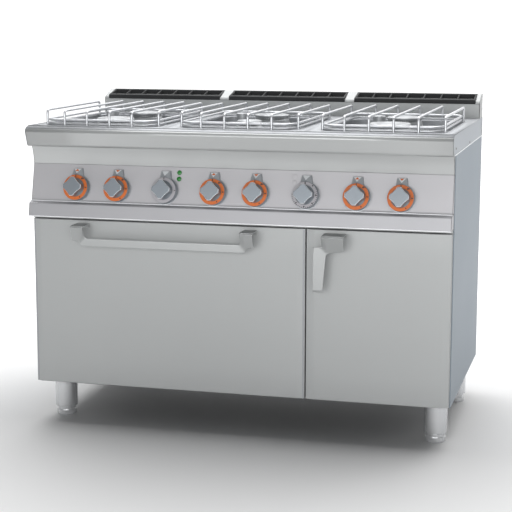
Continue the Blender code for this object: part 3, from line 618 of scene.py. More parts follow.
# Bright strips at the rail's upper and lower edges: painted highlights.
highlight_strips = []
for (d0, d1), (z0, z1) in (((0.0262, 0.0302), (0.6500, 0.6522)), ((0.0058, 0.0078), (0.6084, 0.6106))):
    bead = rounded([(d0, z0), (d0, z1), (d1, z1), (d1, z0)], 0.0006, 3, closed=True)
    highlight_strips.append(bar(bead, inner_x))
piece("rail_beads", highlight_strips, "cabinet", PAINTED_HIGHLIGHT)
door_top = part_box("oven_door_outer")[1].z
strip_path = rounded([(BACK_EDGE, door_top + 0.0012), (0.0440, door_top + 0.0012), (0.0440, 0.6085),
                      (BACK_EDGE, 0.6085)], 0.0015, 4)
piece("cross_strip", [folded(strip_path, inner_x, -SHEET)], "cabinet", HANDLE)
tell("front sheets")

# %% [markdown]
# ## Flue riser and grilles
# The riser is a low box of folded sheet. Straps bridge it between its three openings.

# %% Riser
GRILLE_HALF = (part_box("flue_grille_1")[1].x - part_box("flue_grille_1")[0].x) / 2
GRILLE_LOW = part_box("flue_grille_1")[0].z
strap_path = rounded([(RISER, GRILLE_LOW - 0.001), (RISER, 0.9090), (RISER + 0.004, 0.9145),
                      (DEPTH - 0.0125, CROWN)], (0.0012, 0.002))
crown_path = rounded([(DEPTH - 0.012, CROWN - 0.012), (DEPTH - 0.012, CROWN), (DEPTH, CROWN),
                      (DEPTH, DECK + 0.0004)], (0.001, 0.001))
front_path = np.array([(RISER, DECK + 0.0004), (RISER, GRILLE_LOW - 0.0003)])
riser_ends = (LEFT + INSET, RIGHT - INSET)
parts = [folded(path, riser_ends, -SHEET) for path in (front_path, crown_path)]
stops = [riser_ends[0], *[x + s * (GRILLE_HALF + 0.0006) for x in ZONES for s in (-1, 1)], riser_ends[1]]
for x0, x1 in zip(stops[0::2], stops[1::2]):
    parts.append(folded(strap_path, (x0, x1), -SHEET))
riser_side = np.vstack([front_path[:1], strap_path[1:], crown_path[-3:]])
for x0, x1 in ((riser_ends[0], riser_ends[0] + SHEET), (riser_ends[1] - SHEET, riser_ends[1])):
    parts.append(bar(riser_side, (x0, x1)))
piece("flue_riser_sheet", parts, "cabinet", FRONT_STEEL, ["flue_riser"])
tell("riser")

# %% [markdown]
# ### Castings in the openings
# A cast grille drops into each opening: two bars, with eight ribs that leave seven cells.

# %% Flue castings
bar_front = RISER - 0.0014
front_bar = rounded([(bar_front, GRILLE_LOW), (bar_front, 0.9185), (bar_front + 0.010, 0.9215),
                     (bar_front + 0.010, GRILLE_LOW)], 0.0012, 4, closed=True)
rear_bar = rounded([(DEPTH - 0.019, CROWN - 0.014), (DEPTH - 0.019, CROWN - 0.0018),
                    (DEPTH - 0.0127, CROWN), (DEPTH - 0.0127, CROWN - 0.014)], 0.0008, 4, closed=True)
rib = rounded([(bar_front + 0.009, GRILLE_LOW), (bar_front + 0.009, 0.9207),
               (DEPTH - 0.018, CROWN - 0.0018), (DEPTH - 0.018, CROWN - 0.016)], 0.0008, 3, closed=True)
CELLS = 7
for number, cx in enumerate(ZONES, start=1):
    ends = (cx - GRILLE_HALF, cx + GRILLE_HALF)
    parts = [bar(front_bar, ends), bar(rear_bar, ends)]
    for k in range(CELLS + 1):
        half = 0.003 if k in (0, CELLS) else 0.0016
        middle = ends[0] + 0.003 + (ends[1] - ends[0] - 0.006) * k / CELLS
        parts.append(bar(rib, (middle - half, middle + half)))
    piece("flue_casting_%d" % number, parts, "flue_grille_%d" % number, CAST,
          ["flue_grille_%d" % number])
tell("grilles")

# %% [markdown]
# ## Side panels, back, base and legs
# A side panel is a channel: one sheet with its front and back edges folded in.

# %% Casing
CASE_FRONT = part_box("side_panel_right")[0].y
CASE_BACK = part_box("side_panel_right")[1].y
FLANGE = 0.020
LEG_R = 0.0324
for name, side in (("left", -1), ("right", 1)):
    x = RIGHT * side
    plan = rounded([(x - side * FLANGE, CASE_FRONT + SHEET / 2), (x, CASE_FRONT), (x, CASE_BACK),
                    (x - side * FLANGE, CASE_BACK - SHEET / 2)], 0.002)
    low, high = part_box("side_panel_" + name)[0].z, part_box("side_panel_" + name)[1].z
    walls = along_z(thickened(plan, SHEET * side), (low, high))
    piece("side_sheet_" + name, [tube_of(walls)], "cabinet", SIDE_STEEL,
          ["side_panel_" + name])
tell("side sheets")

# %% [markdown]
# ### Tray, legs and feet
# The leg tubes are turned shapes under a shallow tray. Each foot is a pad that screws into its
# tube, so it rides on a body of its own.

# %% Tray and legs
base_lo, base_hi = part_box("base_frame")
tray_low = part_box("oven_door_outer")[0].z
tray_path = rounded([(base_lo.y - NOSE, base_hi.z), (base_lo.y - NOSE, tray_low + 0.0005),
                     (base_hi.y - NOSE, tray_low + 0.0005), (base_hi.y - NOSE, base_hi.z)], 0.003)
# The tray is kept dark so the space under the body reads as shade: painted shade.
piece("base_tray", [folded(tray_path, (base_lo.x, base_hi.x))], "cabinet", SHADE_DARK_STEEL,
      ["base_frame"])
parts = []
feet = [name for name in frame["nodes"] if name.startswith("foot_")]
for name in feet:
    lo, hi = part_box(name)
    cx, cy = (lo.x + hi.x) / 2, (lo.y + hi.y) / 2
    leg = rounded([(0.0080, 0.0250), (LEG_R - 0.0020, 0.0244), (LEG_R, 0.0262), (LEG_R, 0.1130),
                   (LEG_R + 0.0006, 0.1140), (LEG_R + 0.0006, tray_low + 0.001)], 0.0008, 4)
    parts.append(tube_of(moved(turned(leg, 64), (cx, cy, 0))))
    pad = rounded([(0.0, 0.0), (0.0268, 0.0), (0.0284, 0.0016), (0.0286, 0.0150), (0.0275, 0.0162),
                   (0.0275, 0.0240), (0.0062, 0.0240), (0.0062, 0.0900)], 0.0007, 4)
    piece(name + "_pad", [tube_of(moved(turned(pad, 64), (cx, cy, 0)))], name, LEG_STEEL,
          [name])
piece("leg_tubes", parts, "cabinet", LEG_STEEL, ["base_frame"])
tell("tray, legs and feet")

# %% [markdown]
# ## Doors
# A door is a tray: a face whose edges roll back. The face has a shallow bend near each upright
# edge, which stiffens the sheet. Loops run round the face and back along the sides.


# %% Door trays
BAND = 0.022
BEND = 0.0030
ROLL = 0.0022


def door_tray(x0, x1, z0, z1, y_face, y_back):
    """A face grid, y = face + BEND where x is within BAND of an edge; then loops round it.

    A loop is the face's border moved out by ROLL sin(a) and back by ROLL (1 - cos(a)).
    """
    xs = np.array([x0 + ROLL, x0 + BAND - 0.001, x0 + BAND + 0.001, x1 - BAND - 0.001, x1 - BAND + 0.001,
                   x1 - ROLL])
    xs = np.concatenate([xs[:3], np.linspace(xs[2], xs[3], 6)[1:-1], xs[3:]])
    zs = np.linspace(z0 + ROLL, z1 - ROLL, 8)
    near = np.minimum(xs - x0, x1 - xs)
    back = BEND * np.clip((BAND - near) / (BAND - ROLL), 0, 1)
    face = np.zeros((len(xs), len(zs), 3))
    face[..., 0], face[..., 1], face[..., 2] = xs[:, None], (y_face + back)[:, None], zs
    border = np.concatenate([face[:-1, 0], face[-1, :-1], face[:0:-1, -1], face[0, :0:-1]])
    out = np.zeros_like(border)
    out[:, 0] = np.where(border[:, 0] <= xs[0] + 1e-9, -1, np.where(border[:, 0] >= xs[-1] - 1e-9, 1, 0))
    out[:, 2] = np.where(border[:, 2] <= zs[0] + 1e-9, -1, np.where(border[:, 2] >= zs[-1] - 1e-9, 1, 0))
    turn = np.linspace(0, np.pi / 2, 6)[:, None, None]
    loops = border + out * ROLL * np.sin(turn) + np.array([0, ROLL, 0]) * (1 - np.cos(turn))
    last = loops[-1].copy()
    last[:, 1] = y_back
    loops = np.concatenate([loops, last[None]])
    return [sheet_of(face), tube_of(loops, ends=False)]


for name in ("oven", "cupboard"):
    lo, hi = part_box(name + "_door_outer")
    piece(name + "_door_skin", door_tray(lo.x, hi.x, lo.z, hi.z, lo.y, hi.y), name + "_door",
          FRONT_STEEL, [name + "_door_outer"], wall=SHEET)
tell("door trays")

# %% [markdown]
# ## Handles
# Each handle is cut from one sheet and folded twice. The grip stands upright. Along a slanting
# fold line the sheet leans forwards into the arms, and at the top it rolls over and runs back to
# the door. So a point's depth follows from how far it lies above the fold line under it.

# %% Folded handles
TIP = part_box("oven_door_handle")[0].y - NOSE + 0.0008
GRIP = -0.0060
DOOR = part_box("oven_door_outer")[0].y - NOSE
GRIP_LOW, GRIP_HIGH, ARM_TOP, SHELF = 0.5300, 0.5525, 0.5840, 0.5890
FOLD_SLOPE, FOLD_END = 1.25, 0.0115
over_top = rounded([(TIP, ARM_TOP), (TIP + 0.0035, SHELF), (DOOR - 0.0016, SHELF),
                    (DOOR - 0.0016, SHELF - 0.012)], (0.0035, 0.0015), 8)[1:]


def bent_sheet(x, z, fold):
    """A sheet over the (x, z) grid, then over the top fold.

    With t = (z - fold) / (ARM_TOP - fold), the sheet has gone the part (t + sqrt(t^2 + e^2)) / 2 of
    the way from the grip's depth to the arm's tip.
    """
    t = (z - fold) / (ARM_TOP - fold)
    depth = GRIP + (TIP - GRIP) * (t + np.sqrt(t ** 2 + 0.002)) / 2
    low = np.stack([x + 0 * z, NOSE + depth, z + 0 * x], -1)
    high = np.zeros((len(low), len(over_top), 3))
    high[..., 0] = np.broadcast_to(x, z.shape)[:, -1:]
    high[..., 1:] = over_top + (NOSE, 0)
    return low, high


def fold_line(out):
    """Height of the fold, `out` metres beyond the arm's inner edge."""
    return GRIP_HIGH - FOLD_SLOPE * np.clip(out, -FOLD_END, FOLD_END)


print("the grip stands", round(DOOR - GRIP, 4), "m in front of the door")

# %% [markdown]
# ### The oven door's handle
# A long grip has a round bay at each end, and an arm with a notch beyond each bay.

# %% Oven handle
handle_mid = (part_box("oven_door_handle")[0].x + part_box("oven_door_handle")[1].x) / 2
INNER, OUTER, SHORT, FILLET = 0.2270, 0.2630, 0.0105, 0.010
v = np.linspace(0, 1, 9)[None]
bay = np.linspace(0, FILLET, 8)
x = np.concatenate([-INNER + bay, INNER - bay[::-1]])
rise = FILLET - np.sqrt(np.clip(FILLET ** 2 - (FILLET - (INNER - np.abs(x))) ** 2, 0, None))
z = GRIP_LOW + v * (GRIP_HIGH + rise - GRIP_LOW)[:, None]
parts = [sheet_of(bent_sheet(handle_mid + x[:, None], z, fold_line(np.abs(x) - INNER)[:, None])[0])]
out = np.concatenate([np.linspace(0, SHORT, 4), SHORT + 0.0003 + np.linspace(0, 1, 14) ** 1.6
                      * (OUTER - INNER - SHORT - 0.0003)])
notch = 0.5335 + 0.0125 * (1 - (1 - np.clip((out - SHORT) / (OUTER - INNER - SHORT), 0, 1)) ** 3.5)
low = np.where(out > SHORT, notch, GRIP_LOW)[:, None]
bend = fold_line(out)[:, None]
top_of_bay = GRIP_HIGH + FILLET
for side in (-1, 1):
    x = handle_mid + side * (INNER + out[:, None])
    z = np.concatenate([low + v * (top_of_bay - low),
                        top_of_bay + (ARM_TOP - top_of_bay) * np.linspace(0, 1, 12)[None, 1:] + 0 * low], 1)
    below, above = bent_sheet(x, z, bend)
    parts.append(sheet_of(np.concatenate([below, above], 1)))
# The bevels on its edges take the bright finish: a painted highlight along every edge.
piece("oven_handle_sheet", parts, "oven_door", HANDLE, ["oven_door_handle"], wall=0.0022,
      edge=0.0007, edge_highlight=PAINTED_HIGHLIGHT)
tell("oven handle")

# %% [markdown]
# ### The cupboard door's handle
# This one hangs from a single arm. Its two edges are lists of (height, x), joined by a grid.

# %% Cupboard handle
hook_lo, hook_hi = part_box("cupboard_door_handle")
HOOK_X = 0.2540
z = np.concatenate([np.linspace(hook_lo.z, 0.5315, 14), np.linspace(0.5325, 0.5548, 16),
                    np.linspace(0.5552, 0.5680, 12), np.linspace(0.5695, ARM_TOP, 6)])
left = np.interp(z, [0.5540, 0.5549], [hook_lo.x, hook_lo.x + 0.0020])
curl = np.clip((0.5680 - z) / 0.0128, 0, 1)
left = np.where(z > 0.5550, HOOK_X - 0.0110 * (1 - np.sqrt(1 - curl ** 2)), left)
right = np.interp(z, [hook_lo.z, 0.5320, 0.5355, 0.5395, 0.5430, 0.5462, 0.5478, ARM_TOP],
                  [0.2555, 0.2645, 0.2662, 0.2700, 0.2825, 0.3100, 0.3133, hook_hi.x])
x = left[:, None] + (right - left)[:, None] * np.linspace(0, 1, 16)[None]
below, above = bent_sheet(x.T, np.broadcast_to(z, x.T.shape), fold_line(x.T - HOOK_X) + 0.0035)
# The bevels on its edges take the bright finish: a painted highlight along every edge.
piece("cupboard_handle_sheet", [sheet_of(np.concatenate([below, above], 1))], "cupboard_door",
      HANDLE, ["cupboard_door_handle"], wall=0.0022, edge=0.0007, edge_highlight=PAINTED_HIGHLIGHT)
tell("cupboard handle")

# %% [markdown]
# ## Knobs
# A knob is a round skirt with a flat dial ring, and a square grip stood on its corner with
# hollow sides and cut corners. Each side of the outline is part of a large circle, each corner a
# straight plane. The nearest one wins, and a high power rounds the edges between them a little.
# Down the flank the outline opens into the ring's own circle, which leaves four scoops. A bright
# band laid on the face's rounded edge paints its highlight.

# %% Knob profiles
BACK_H, RING_H, FACE_H = 0.0050, 0.0210, 0.0480
SKIRT, DIAL_IN, DIAL_OUT = 0.0366, 0.0268, 0.0355
FLAT, CORNER, HOLLOW = 0.0210, 0.0264, 0.0700
DIALS = (3, 6)
POWER = 44


def grip_reach(profile, angle):
    """Distance from the axis to the grip's outline, in each direction.

    A side is the near part of a circle of radius HOLLOW whose centre lies D = FLAT + HOLLOW out:
    r = D cos a - sqrt(HOLLOW^2 - D^2 sin^2 a). A corner is a plane: r = CORNER / cos a. They are
    joined as (r1^-p + r2^-p)^(-1/p), then mixed with the ring's circle by how far up we are.
    """
    up = np.clip((profile[:, 1:2] - RING_H) / (FACE_H - RING_H), 0, 1)
    a = (angle + np.pi / 4) % (np.pi / 2) - np.pi / 4
    corner = CORNER / np.cos(a)
    a = angle % (np.pi / 2) - np.pi / 4
    centre = FLAT + HOLLOW - 0.0022 * np.sin(np.pi * up ** 0.8)
    side = centre * np.cos(a) - np.sqrt(HOLLOW ** 2 - (centre * np.sin(a)) ** 2)
    outline = (corner ** -POWER + side ** -POWER) ** (-1 / POWER)
    shape = 1 - (1 - up) ** 5
    return (DIAL_IN * (1 - shape) + outline * shape) * profile[:, :1] / CORNER


skirt = rounded([(0.0050, BACK_H), (SKIRT, BACK_H), (SKIRT - 0.0006, RING_H - 0.0006),
                 (DIAL_IN + 0.008, RING_H), (0.0200, RING_H - 0.0004)], (0.0006, 0.0012, 0.0006), 5)
LIP = 0.0013
heights = RING_H - 0.0002 + (FACE_H - LIP - RING_H) * np.linspace(0, 1, 14) ** 1.6
roll = np.linspace(0, np.pi / 2, 6)
grip = np.column_stack([np.full(14, CORNER), heights])
grip_lip = np.column_stack([CORNER - LIP * (1 - np.cos(roll)), FACE_H - LIP + LIP * np.sin(roll)])
grip = np.vstack([grip, grip_lip[1:], [(CORNER - LIP - 0.002, FACE_H)]])
# A band just outside the face's rolled edge, for the bright finish: a painted highlight.
face_highlight_band = grip_lip[1:-1] + (0.0001, 0.0)
dial = rounded([(DIAL_IN - 0.0003, RING_H - 0.0002), (DIAL_IN - 0.0003, RING_H + 0.0004),
                (DIAL_OUT, RING_H + 0.0004), (DIAL_OUT, RING_H - 0.0002)], 0.0002, 3)
print("a knob is", round(FACE_H - BACK_H, 4), "m deep")

# %% [markdown]
# ### Marks on the dial
# Printed marks are thin plates just above the ring, so each stays sharp from close by.


# %% Dial marks
def mark(angle, width, r0, r1):
    """A small printed bar on the dial, square to the axis."""
    lo, hi = (-width / 2, r0, RING_H + 0.00045), (width / 2, r1, RING_H + 0.0006)
    points, faces = block(lo, hi)
    c, s = np.cos(angle), np.sin(angle)
    return moved(points, (0, 0, 0), (c, s, 0), (-s, c, 0)), faces


def dot(angle, radius, r):
    """A small printed disc."""
    centre = (-np.sin(angle) * r, np.cos(angle) * r, 0)
    return tube_of(moved(turned([(radius, RING_H + 0.00045), (radius, RING_H + 0.0006)], 12), centre))


def panel_axes(number):
    """Where a knob's axis meets the panel, and the panel's right, up and outward directions."""
    joint = joints["knob_turn_%d" % number]
    out = np.array(joint["axis"])
    return np.array(joint["pos_m"]), np.array([1.0, 0, 0]), np.cross(out, [1.0, 0, 0]), out


print("a knob's axis:", panel_axes(1)[3].round(3))

# %% [markdown]
# ### Bezels, tabs and pointers
# The fixed bezel has a raised tab like a low pyramid. A bright plate over its upper slope paints
# the highlight that slope catches from above, and over a gas knob a coloured triangle points up or
# down.

# %% Bezel parts
PEAK, TAB_TOP = (0.0400, 0.0170), 0.0545


def bezel_parts():
    """A thin disc, and a raised tab whose face is a low pyramid: a rim of points and a peak."""
    disc = rounded([(0.0060, 0.0004), (SKIRT + 0.0016, 0.0004), (SKIRT + 0.0012, 0.0018),
                    (0.0060, 0.0018)], 0.0005, 4)
    half = np.array([(0.0180, 0.0240), (0.0150, 0.0510), (0.0134, 0.0562)])
    plan = np.vstack([half * (-1, 1), half[::-1]])
    inner = np.array([(0.0162, 0.0310), (0.0124, 0.0525), (0.0116, TAB_TOP)])
    rim = np.vstack([inner * (-1, 1), inner[::-1]])
    lift = np.array([0.0105, 0.0085, 0.0082, 0.0082, 0.0085, 0.0105])
    ring = np.arange(6)
    points = np.vstack([np.column_stack([plan, np.full(6, 0.0003)]), np.column_stack([rim, lift]),
                        [(0.0, *PEAK)]])
    faces = [[i, (i + 1) % 6, 6 + (i + 1) % 6, 6 + i] for i in ring.tolist()]
    faces += [[6 + i, 6 + (i + 1) % 6, 12] for i in ring.tolist()] + [ring[::-1].tolist()]
    return [tube_of(turned(disc, 48)), (points, faces)]


def tab_highlight():
    """The tab's upper slope once more, as a bright plate that paints its highlight: a wide edge
    above, its tip at the peak.
    """
    low = np.array([(-0.0106, TAB_TOP - 0.0004, 0.0084), (0.0, PEAK[0] + 0.0006, PEAK[1] - 0.0002),
                    (0.0106, TAB_TOP - 0.0004, 0.0084)])
    return tube_of(np.array([low, low + np.array([0, 0.0001, 0.0003])]))


def pointer(upwards):
    """The small coloured triangle, a thin plate laid on the tab's upper slope."""
    tip = 0.0030 if upwards else -0.0030
    across, height = np.array([-0.0056, 0.0056, 0.0]), 0.0498 + np.array([-tip, -tip, tip])
    slope = PEAK[1] - (height - PEAK[0]) * (PEAK[1] - 0.0082) / (TAB_TOP - PEAK[0])
    low = np.column_stack([across, height, slope - 0.0003])
    return [tube_of(np.array([low, low + np.array([0, 0.0004, 0.0010])]))]


print("a bezel has", len(bezel_parts()), "parts")

# %% [markdown]
# ### The eight knobs
# Each knob stands on its joint's axis: `here` lays a shape out in the panel's own directions.

# %% Knobs
for number in range(1, 9):
    origin, right, up, out = panel_axes(number)
    body = "knob_%d" % number
    gas = number not in DIALS

    def here(part):
        return moved(part[0], origin, right, up, out), part[1]

    cap = [here(tube_of(turned(skirt, 64))), here(tube_of(turned(grip, 96, grip_reach)))]
    piece("knob_cap_%d" % number, cap, body, KNOB_GREY, [body], crisp=50)
    # The face's edge takes the bright finish: a painted highlight.
    piece("knob_chamfer_%d" % number, [here(tube_of(turned(face_highlight_band, 96, grip_reach), ends=False))], body,
          PAINTED_HIGHLIGHT)
    piece("dial_ring_%d" % number, [here(torus_of(turned(dial, 64)))], body,
          ORANGE if gas else DIAL_GREY)
    if gas:
        marks = [mark(0, 0.0026, 0.0292, 0.0350), dot(np.radians(-37), 0.0027, 0.0316),
                 dot(np.radians(-43), 0.0015, 0.0342), mark(np.radians(-90), 0.0028, 0.0290, 0.0342),
                 dot(np.radians(-150), 0.0018, 0.0312)]
    elif number == 3:
        marks = [mark(0, 0.0022, 0.0296, 0.0352), mark(np.radians(-90), 0.0016, 0.0310, 0.0350),
                 mark(np.radians(90), 0.0014, 0.0325, 0.0354)]
    else:
        marks = [mark(0, 0.0030, 0.0290, 0.0352), dot(np.radians(-40), 0.0020, 0.0330)]
        marks += [mark(np.radians(-55 - 9 * k), 0.0014, 0.0325, 0.0354) for k in range(25)]
        marks += [dot(np.radians(a), 0.0021, 0.0312) for a in (-90, -135, -180, -225, -270)]
    piece("dial_marks_%d" % number, [here(part) for part in marks], body, PRINT)
    piece("bezel_%d" % number, [here(part) for part in bezel_parts()], "cabinet",
          TAB_GREY, crisp=20)
    # The bright plate on the tab: a painted highlight.
    piece("tab_window_%d" % number, [here(tab_highlight())], "cabinet", TAB_HIGHLIGHT)
    if gas:
        piece("pointer_%d" % number, [here(part) for part in pointer(number in (1, 4, 7))], "cabinet",
              ORANGE)
tell("knobs")

# %% [markdown]
# ## Lamps and blanks
# Two green pilot lamps stand beside the oven selector. Beside the thermostat, two blank plugs
# fill the same holes.

# %% Lamps
LAMP_SIDE, PLUG_SIDE = -0.1625, 0.1655
LAMP_DROPS = (0.0160, 0.0335)
KNOB_DROP = 0.0680
lens = rounded([(0.0, 0.0032), (0.0045, 0.0030), (0.0066, 0.0014), (0.0068, 0.0003), (0.0, 0.0003)],
               (0.0015, 0.001, 0.0005), 5)
plug = rounded([(0.0, 0.0006), (0.0060, 0.0006), (0.0066, 0.0003), (0.0, 0.0003)], 0.0002, 3)
origin, right, up, out = panel_axes(DIALS[0])
lenses, plugs = [], []
for drop in LAMP_DROPS:
    for shape, side, found in ((lens, LAMP_SIDE, lenses), (plug, PLUG_SIDE, plugs)):
        spot = origin + right * (side - origin[0]) + up * (KNOB_DROP - drop)
        found.append(tube_of(moved(turned(shape, 32), spot, right, up, out), ends=False))
piece("lamp_lenses", lenses, "cabinet", GREEN, ["pilot_lamps"])
piece("blank_plugs", plugs, "cabinet", PANEL_STEEL)
tell("lamps")

# %% [markdown]
# ## Pan supports
# Each support is bent from round wire. Six long wires run from front to back and turn down at
# both ends; two rings, one above the other, tie their legs together near the deck.

# %% Pan supports
ROD = 0.0035
SETBACK = 0.035
for number, cx in enumerate(ZONES, start=1):
    lo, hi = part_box("pan_support_%d" % number)
    pitch = (hi.x - lo.x - 2 * ROD) / 5
    top = hi.z - ROD
    parts = []
    for k in range(6):
        x = lo.x + ROD + pitch * k
        step = SETBACK if k in (0, 5) else 0.0
        front, back = lo.y + ROD + step, hi.y - ROD - step
        path = rounded([(x, front, lo.z), (x, front, top), (x, back, top), (x, back, lo.z)], 0.011, 9)
        parts.append(tube_of(wire(path, ROD, (1, 0, 0))))
    inset = ROD * 1.5
    mid_y = (lo.y + hi.y) / 2
    for height in (DECK + 0.0060, DECK + 0.0165):
        plan = ring_outline(cx, mid_y, (hi.x - lo.x) / 2 - ROD - inset, (hi.y - lo.y) / 2 - ROD - inset,
                            SETBACK, 9)
        ring = np.column_stack([plan, np.full(len(plan), height)])
        parts.append(torus_of(wire(ring, ROD, (0, 0, 1), closed=True)))
    piece("wire_support_%d" % number, parts, "pan_support_%d" % number, WIRE_STEEL,
          ["pan_support_%d" % number], crisp=60)
tell("pan supports")

# %% [markdown]
# ## Burners
# A burner is a flared body with a crown of flame ports, closed by a loose cap. The ports are
# teeth: the crown's radius steps in and out as it goes round. A slim tower beside each pair
# shields its pilot flame.

# %% Burners
TOOTH_PITCH, TOOTH_DEEP = 0.0070, 0.0030
for number in range(1, 7):
    lo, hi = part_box("burner_body_%d" % number)
    cap_lo, cap_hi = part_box("burner_cap_%d" % number)
    centre = ((cap_lo.x + cap_hi.x) / 2, (cap_lo.y + cap_hi.y) / 2, 0)
    cap_r = (cap_hi.x - cap_lo.x) / 2
    foot_r = (hi.x - lo.x) / 2
    floor = DECK - WELL_DEEP
    teeth = int(round(cap_r * 2 * np.pi / TOOTH_PITCH))

    def crown(profile, angle):
        """Teeth between the crown's foot and its top, where the profile asks for them."""
        comb = 0.5 + 0.5 * np.tanh(4 * np.sin(angle * teeth))
        toothed = (profile[:, 1:2] > cap_lo.z - 0.0068) * TOOTH_DEEP
        return profile[:, :1] - toothed * comb

    body = rounded([(0.018, lo.z), (0.018, floor + 0.0004), (foot_r, floor + 0.0004),
                    (foot_r - 0.0015, floor + 0.0045), (cap_r - 0.0010, cap_lo.z - 0.0080),
                    (cap_r - 0.0030, cap_lo.z - 0.0070), (cap_r - 0.0035, cap_lo.z - 0.0060),
                    (cap_r - 0.0035, cap_lo.z - 0.0002)], (0.0004, 0.0004, 0.002, 0.002, 0.0008, 0.0003),
                   5)
    piece("burner_bowl_%d" % number, [tube_of(moved(turned(body, teeth * 8, crown), centre))], "cabinet",
          BURNER, ["burner_body_%d" % number])
    lid = rounded([(0.0, cap_lo.z), (cap_r - 0.0012, cap_lo.z), (cap_r, cap_lo.z + 0.0012),
                   (cap_r, cap_hi.z - 0.0030), (cap_r - 0.0045, cap_hi.z - 0.0002),
                   (cap_r * 0.55, cap_hi.z), (cap_r * 0.50, cap_hi.z - 0.0010), (0.0, cap_hi.z - 0.0010)],
                  (0.0006, 0.0005, 0.0015, 0.0015, 0.001, 0.001), 5)
    piece("burner_lid_%d" % number, [tube_of(moved(turned(lid, 64), centre), ends=False)],
          "burner_cap_%d" % number, BURNER, ["burner_cap_%d" % number])

TOWER_R = 0.0185
TOWER_X, TOWER_DEPTH = -0.047, 0.292
for number, cx in enumerate(ZONES, start=1):
    spot = (cx + TOWER_X, NOSE + TOWER_DEPTH, 0)
    tower = rounded([(0.0, DECK + 0.0290), (TOWER_R - 0.003, DECK + 0.0290), (TOWER_R, DECK + 0.0265),
                     (TOWER_R, DECK - WELL_DEEP + 0.004), (TOWER_R + 0.004, DECK - WELL_DEEP + 0.0005),
                     (0.0, DECK - WELL_DEEP + 0.0005)], (0.002, 0.0012, 0.002, 0.0008), 5)
    piece("pilot_tower_%d" % number, [tube_of(moved(turned(tower, 40), spot), ends=False)], "cabinet",
          BURNER)
tell("burners")

# %% [markdown]
# ## Side screws and inner pieces
# Three small screws hold the right side; their heads fill the depth by which the plate is set
# in. The pieces inside keep their working shapes and get proper finishes.

# %% Screws and carried-over nodes
screw = rounded([(0.0, 0.0010), (0.0016, 0.0004), (0.0026, 0.0011), (0.0036, 0.0005), (0.0036, 0.0),
                 (0.0, 0.0)], (0.0004, 0.0004, 0.0004, 0.0003), 4)
SCREW_SPOTS = ((0.0585, 0.8237), (0.3772, 0.8142), (0.6957, 0.8881))
for number, (depth, height) in enumerate(SCREW_SPOTS, start=1):
    spot = (RIGHT - INSET, NOSE + depth, height)
    head = moved(turned(screw, 20), spot, (0, 1, 0), (0, 0, 1), (1, 0, 0))
    piece("side_screw_%d" % number, [tube_of(head, ends=False)], "cabinet", SHEATH)

finishes = {"oven_body": ENAMEL, "oven_shelf": BRIGHT, "oven_seal": RUBBER, "oven_hinge": BRIGHT,
            "heating_element": SHEATH, "gas_rail": BRASS, "back_panel": SIDE_STEEL,
            "divider_panel": SIDE_STEEL, "oven_door_liner": DECK_STEEL}
for name, node in frame["nodes"].items():
    if not node.hide_render:
        node.data.materials.clear()
        node.data.materials.append(finishes.get(name, BRIGHT))
tell("screws")
print("pieces made:", len(made))

# %% [markdown]
# ## Studio
# The floor runs back and curves up into a wall, so no horizon shows. Away from the range it glows a
# little, which turns it white. The glow is painted light, and where it fades out near the range the
# floor stays darker, a painted shadow round the range.

# %% Floor
floor_path = rounded([(-9.0, 0.0), (7.0, 0.0), (7.0, 8.0)], 3.0, 16)
floor_grid = np.zeros((2, len(floor_path), 3))
floor_grid[..., 0] = np.array([[-14.0], [14.0]])
floor_grid[..., 1:] = floor_path
floor_mesh = bpy.data.meshes.new("floor")
floor_mesh.from_pydata(floor_grid.reshape(-1, 3), [], quads(*floor_grid.shape[:2]).tolist())
floor_mesh.shade_smooth()
floor = bpy.data.objects.new("floor", floor_mesh)
bpy.context.scene.collection.objects.link(floor)
floor_look = Finish("floor", Roughness=0.9)
pale = floor_look.noise(1.5)
far = floor_look.node("ShaderNodeVectorMath", {"operation": "LENGTH"},
                      {0: floor_look.node("ShaderNodeTexCoord", output="Object")}, "Value")
# The glow rises with distance from the range: painted light far off, and a painted shadow close by.
glow = floor_look.node("ShaderNodeMapRange", {"interpolation_type": "SMOOTHSTEP"},
                       {"Value": far, "From Min": 0.35, "From Max": 3.0, "To Max": 1.0})
floor_look.set(Base_Color=floor_look.between(pale, (0.66, 0.66, 0.66), (0.70, 0.70, 0.70)),
               Emission_Color=floor_look.between(glow, (0, 0, 0), (0.8, 0.8, 0.8)),
               Emission_Strength=1.0)
floor_mesh.materials.append(floor_look.material)
print("floor:", len(floor_mesh.polygons), "faces")

# %% [markdown]
# ### World and lights
# The world lights the range dimly, and steel shows whatever surrounds it, so that is what gives
# the wires their dark edges. A large soft light hangs behind and above, and its shadow falls
# forwards. A low light in front fills the doors. It is linked to the range only, so it doesn't
# wash that shadow out.

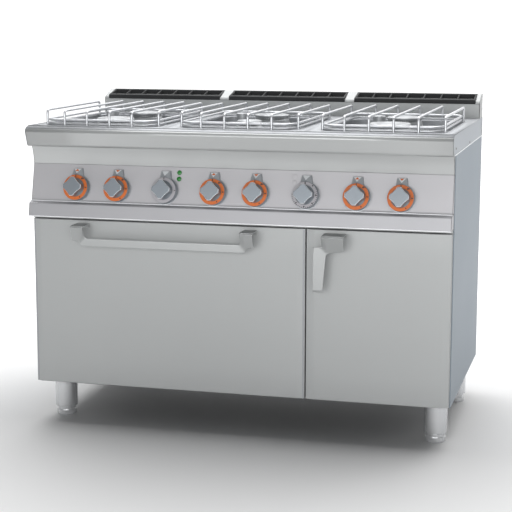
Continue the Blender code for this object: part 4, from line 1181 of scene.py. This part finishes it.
# %% World and lights
AMBIENT, SEEN_EXTRA = 0.21, 0.79
world = bpy.data.worlds.new("studio")
bpy.context.scene.world = world
world.use_nodes = True
sky = world.node_tree
sky.nodes["Background"].inputs["Color"].default_value = (0.96, 0.98, 1, 1)
seen = sky.nodes.new("ShaderNodeLightPath").outputs["Is Camera Ray"]
strength = sky.nodes.new("ShaderNodeMath")
strength.operation = "MULTIPLY_ADD"
strength.inputs[1].default_value = SEEN_EXTRA
strength.inputs[2].default_value = AMBIENT
sky.links.new(seen, strength.inputs[0])
sky.links.new(strength.outputs[0], sky.nodes["Background"].inputs["Strength"])


def soft_light(name, place, aim, size, power):
    """A rectangular area light that faces a point."""
    lamp = bpy.data.lights.new(name, "AREA")
    lamp.shape = "RECTANGLE"
    lamp.size, lamp.size_y = size
    lamp.energy = power
    holder = bpy.data.objects.new(name, lamp)
    holder.location = place
    holder.rotation_euler = (Vector(aim) - Vector(place)).to_track_quat("-Z", "Y").to_euler()
    bpy.context.scene.collection.objects.link(holder)
    return holder


soft_light("overhead", (0, 1.2, 3.6), (0, 0.4, 0), (5.0, 4.0), 230)
front = soft_light("front", (0.6, -4.8, 1.25), (0, 0, 0.5), (5.0, 1.6), 130)
lit_from_front = bpy.data.collections.new("lit from the front")
for thing in bpy.context.scene.objects:
    if thing.type == "MESH" and thing is not floor:
        lit_from_front.objects.link(thing)
front.light_linking.receiver_collection = lit_from_front
bpy.context.scene.view_settings.view_transform = "Standard"
print("lights:", len(bpy.data.lights))

# %% [markdown]
# ### Camera
# A long lens, a little to the right and above, looks slightly down.

# %% Camera
CAMERA_X, CAMERA_DEPTH, CAMERA_Z = 1.0445, -3.6831, 1.1695
YAW, PITCH, LEAN = 14.826, -9.619, -0.052
SENSOR, LENS = 36, 99.9
camera = bpy.data.cameras.new("camera")
camera.sensor_width = SENSOR
camera.lens = LENS
camera.clip_end = 50
viewer = bpy.data.objects.new("camera", camera)
viewer.location = (CAMERA_X, NOSE + CAMERA_DEPTH, CAMERA_Z)
viewer.rotation_euler = (np.radians(90 + PITCH), np.radians(LEAN), np.radians(YAW))
bpy.context.scene.collection.objects.link(viewer)
bpy.context.scene.camera = viewer
print("camera:", CAMERA_Z, "m above the floor")
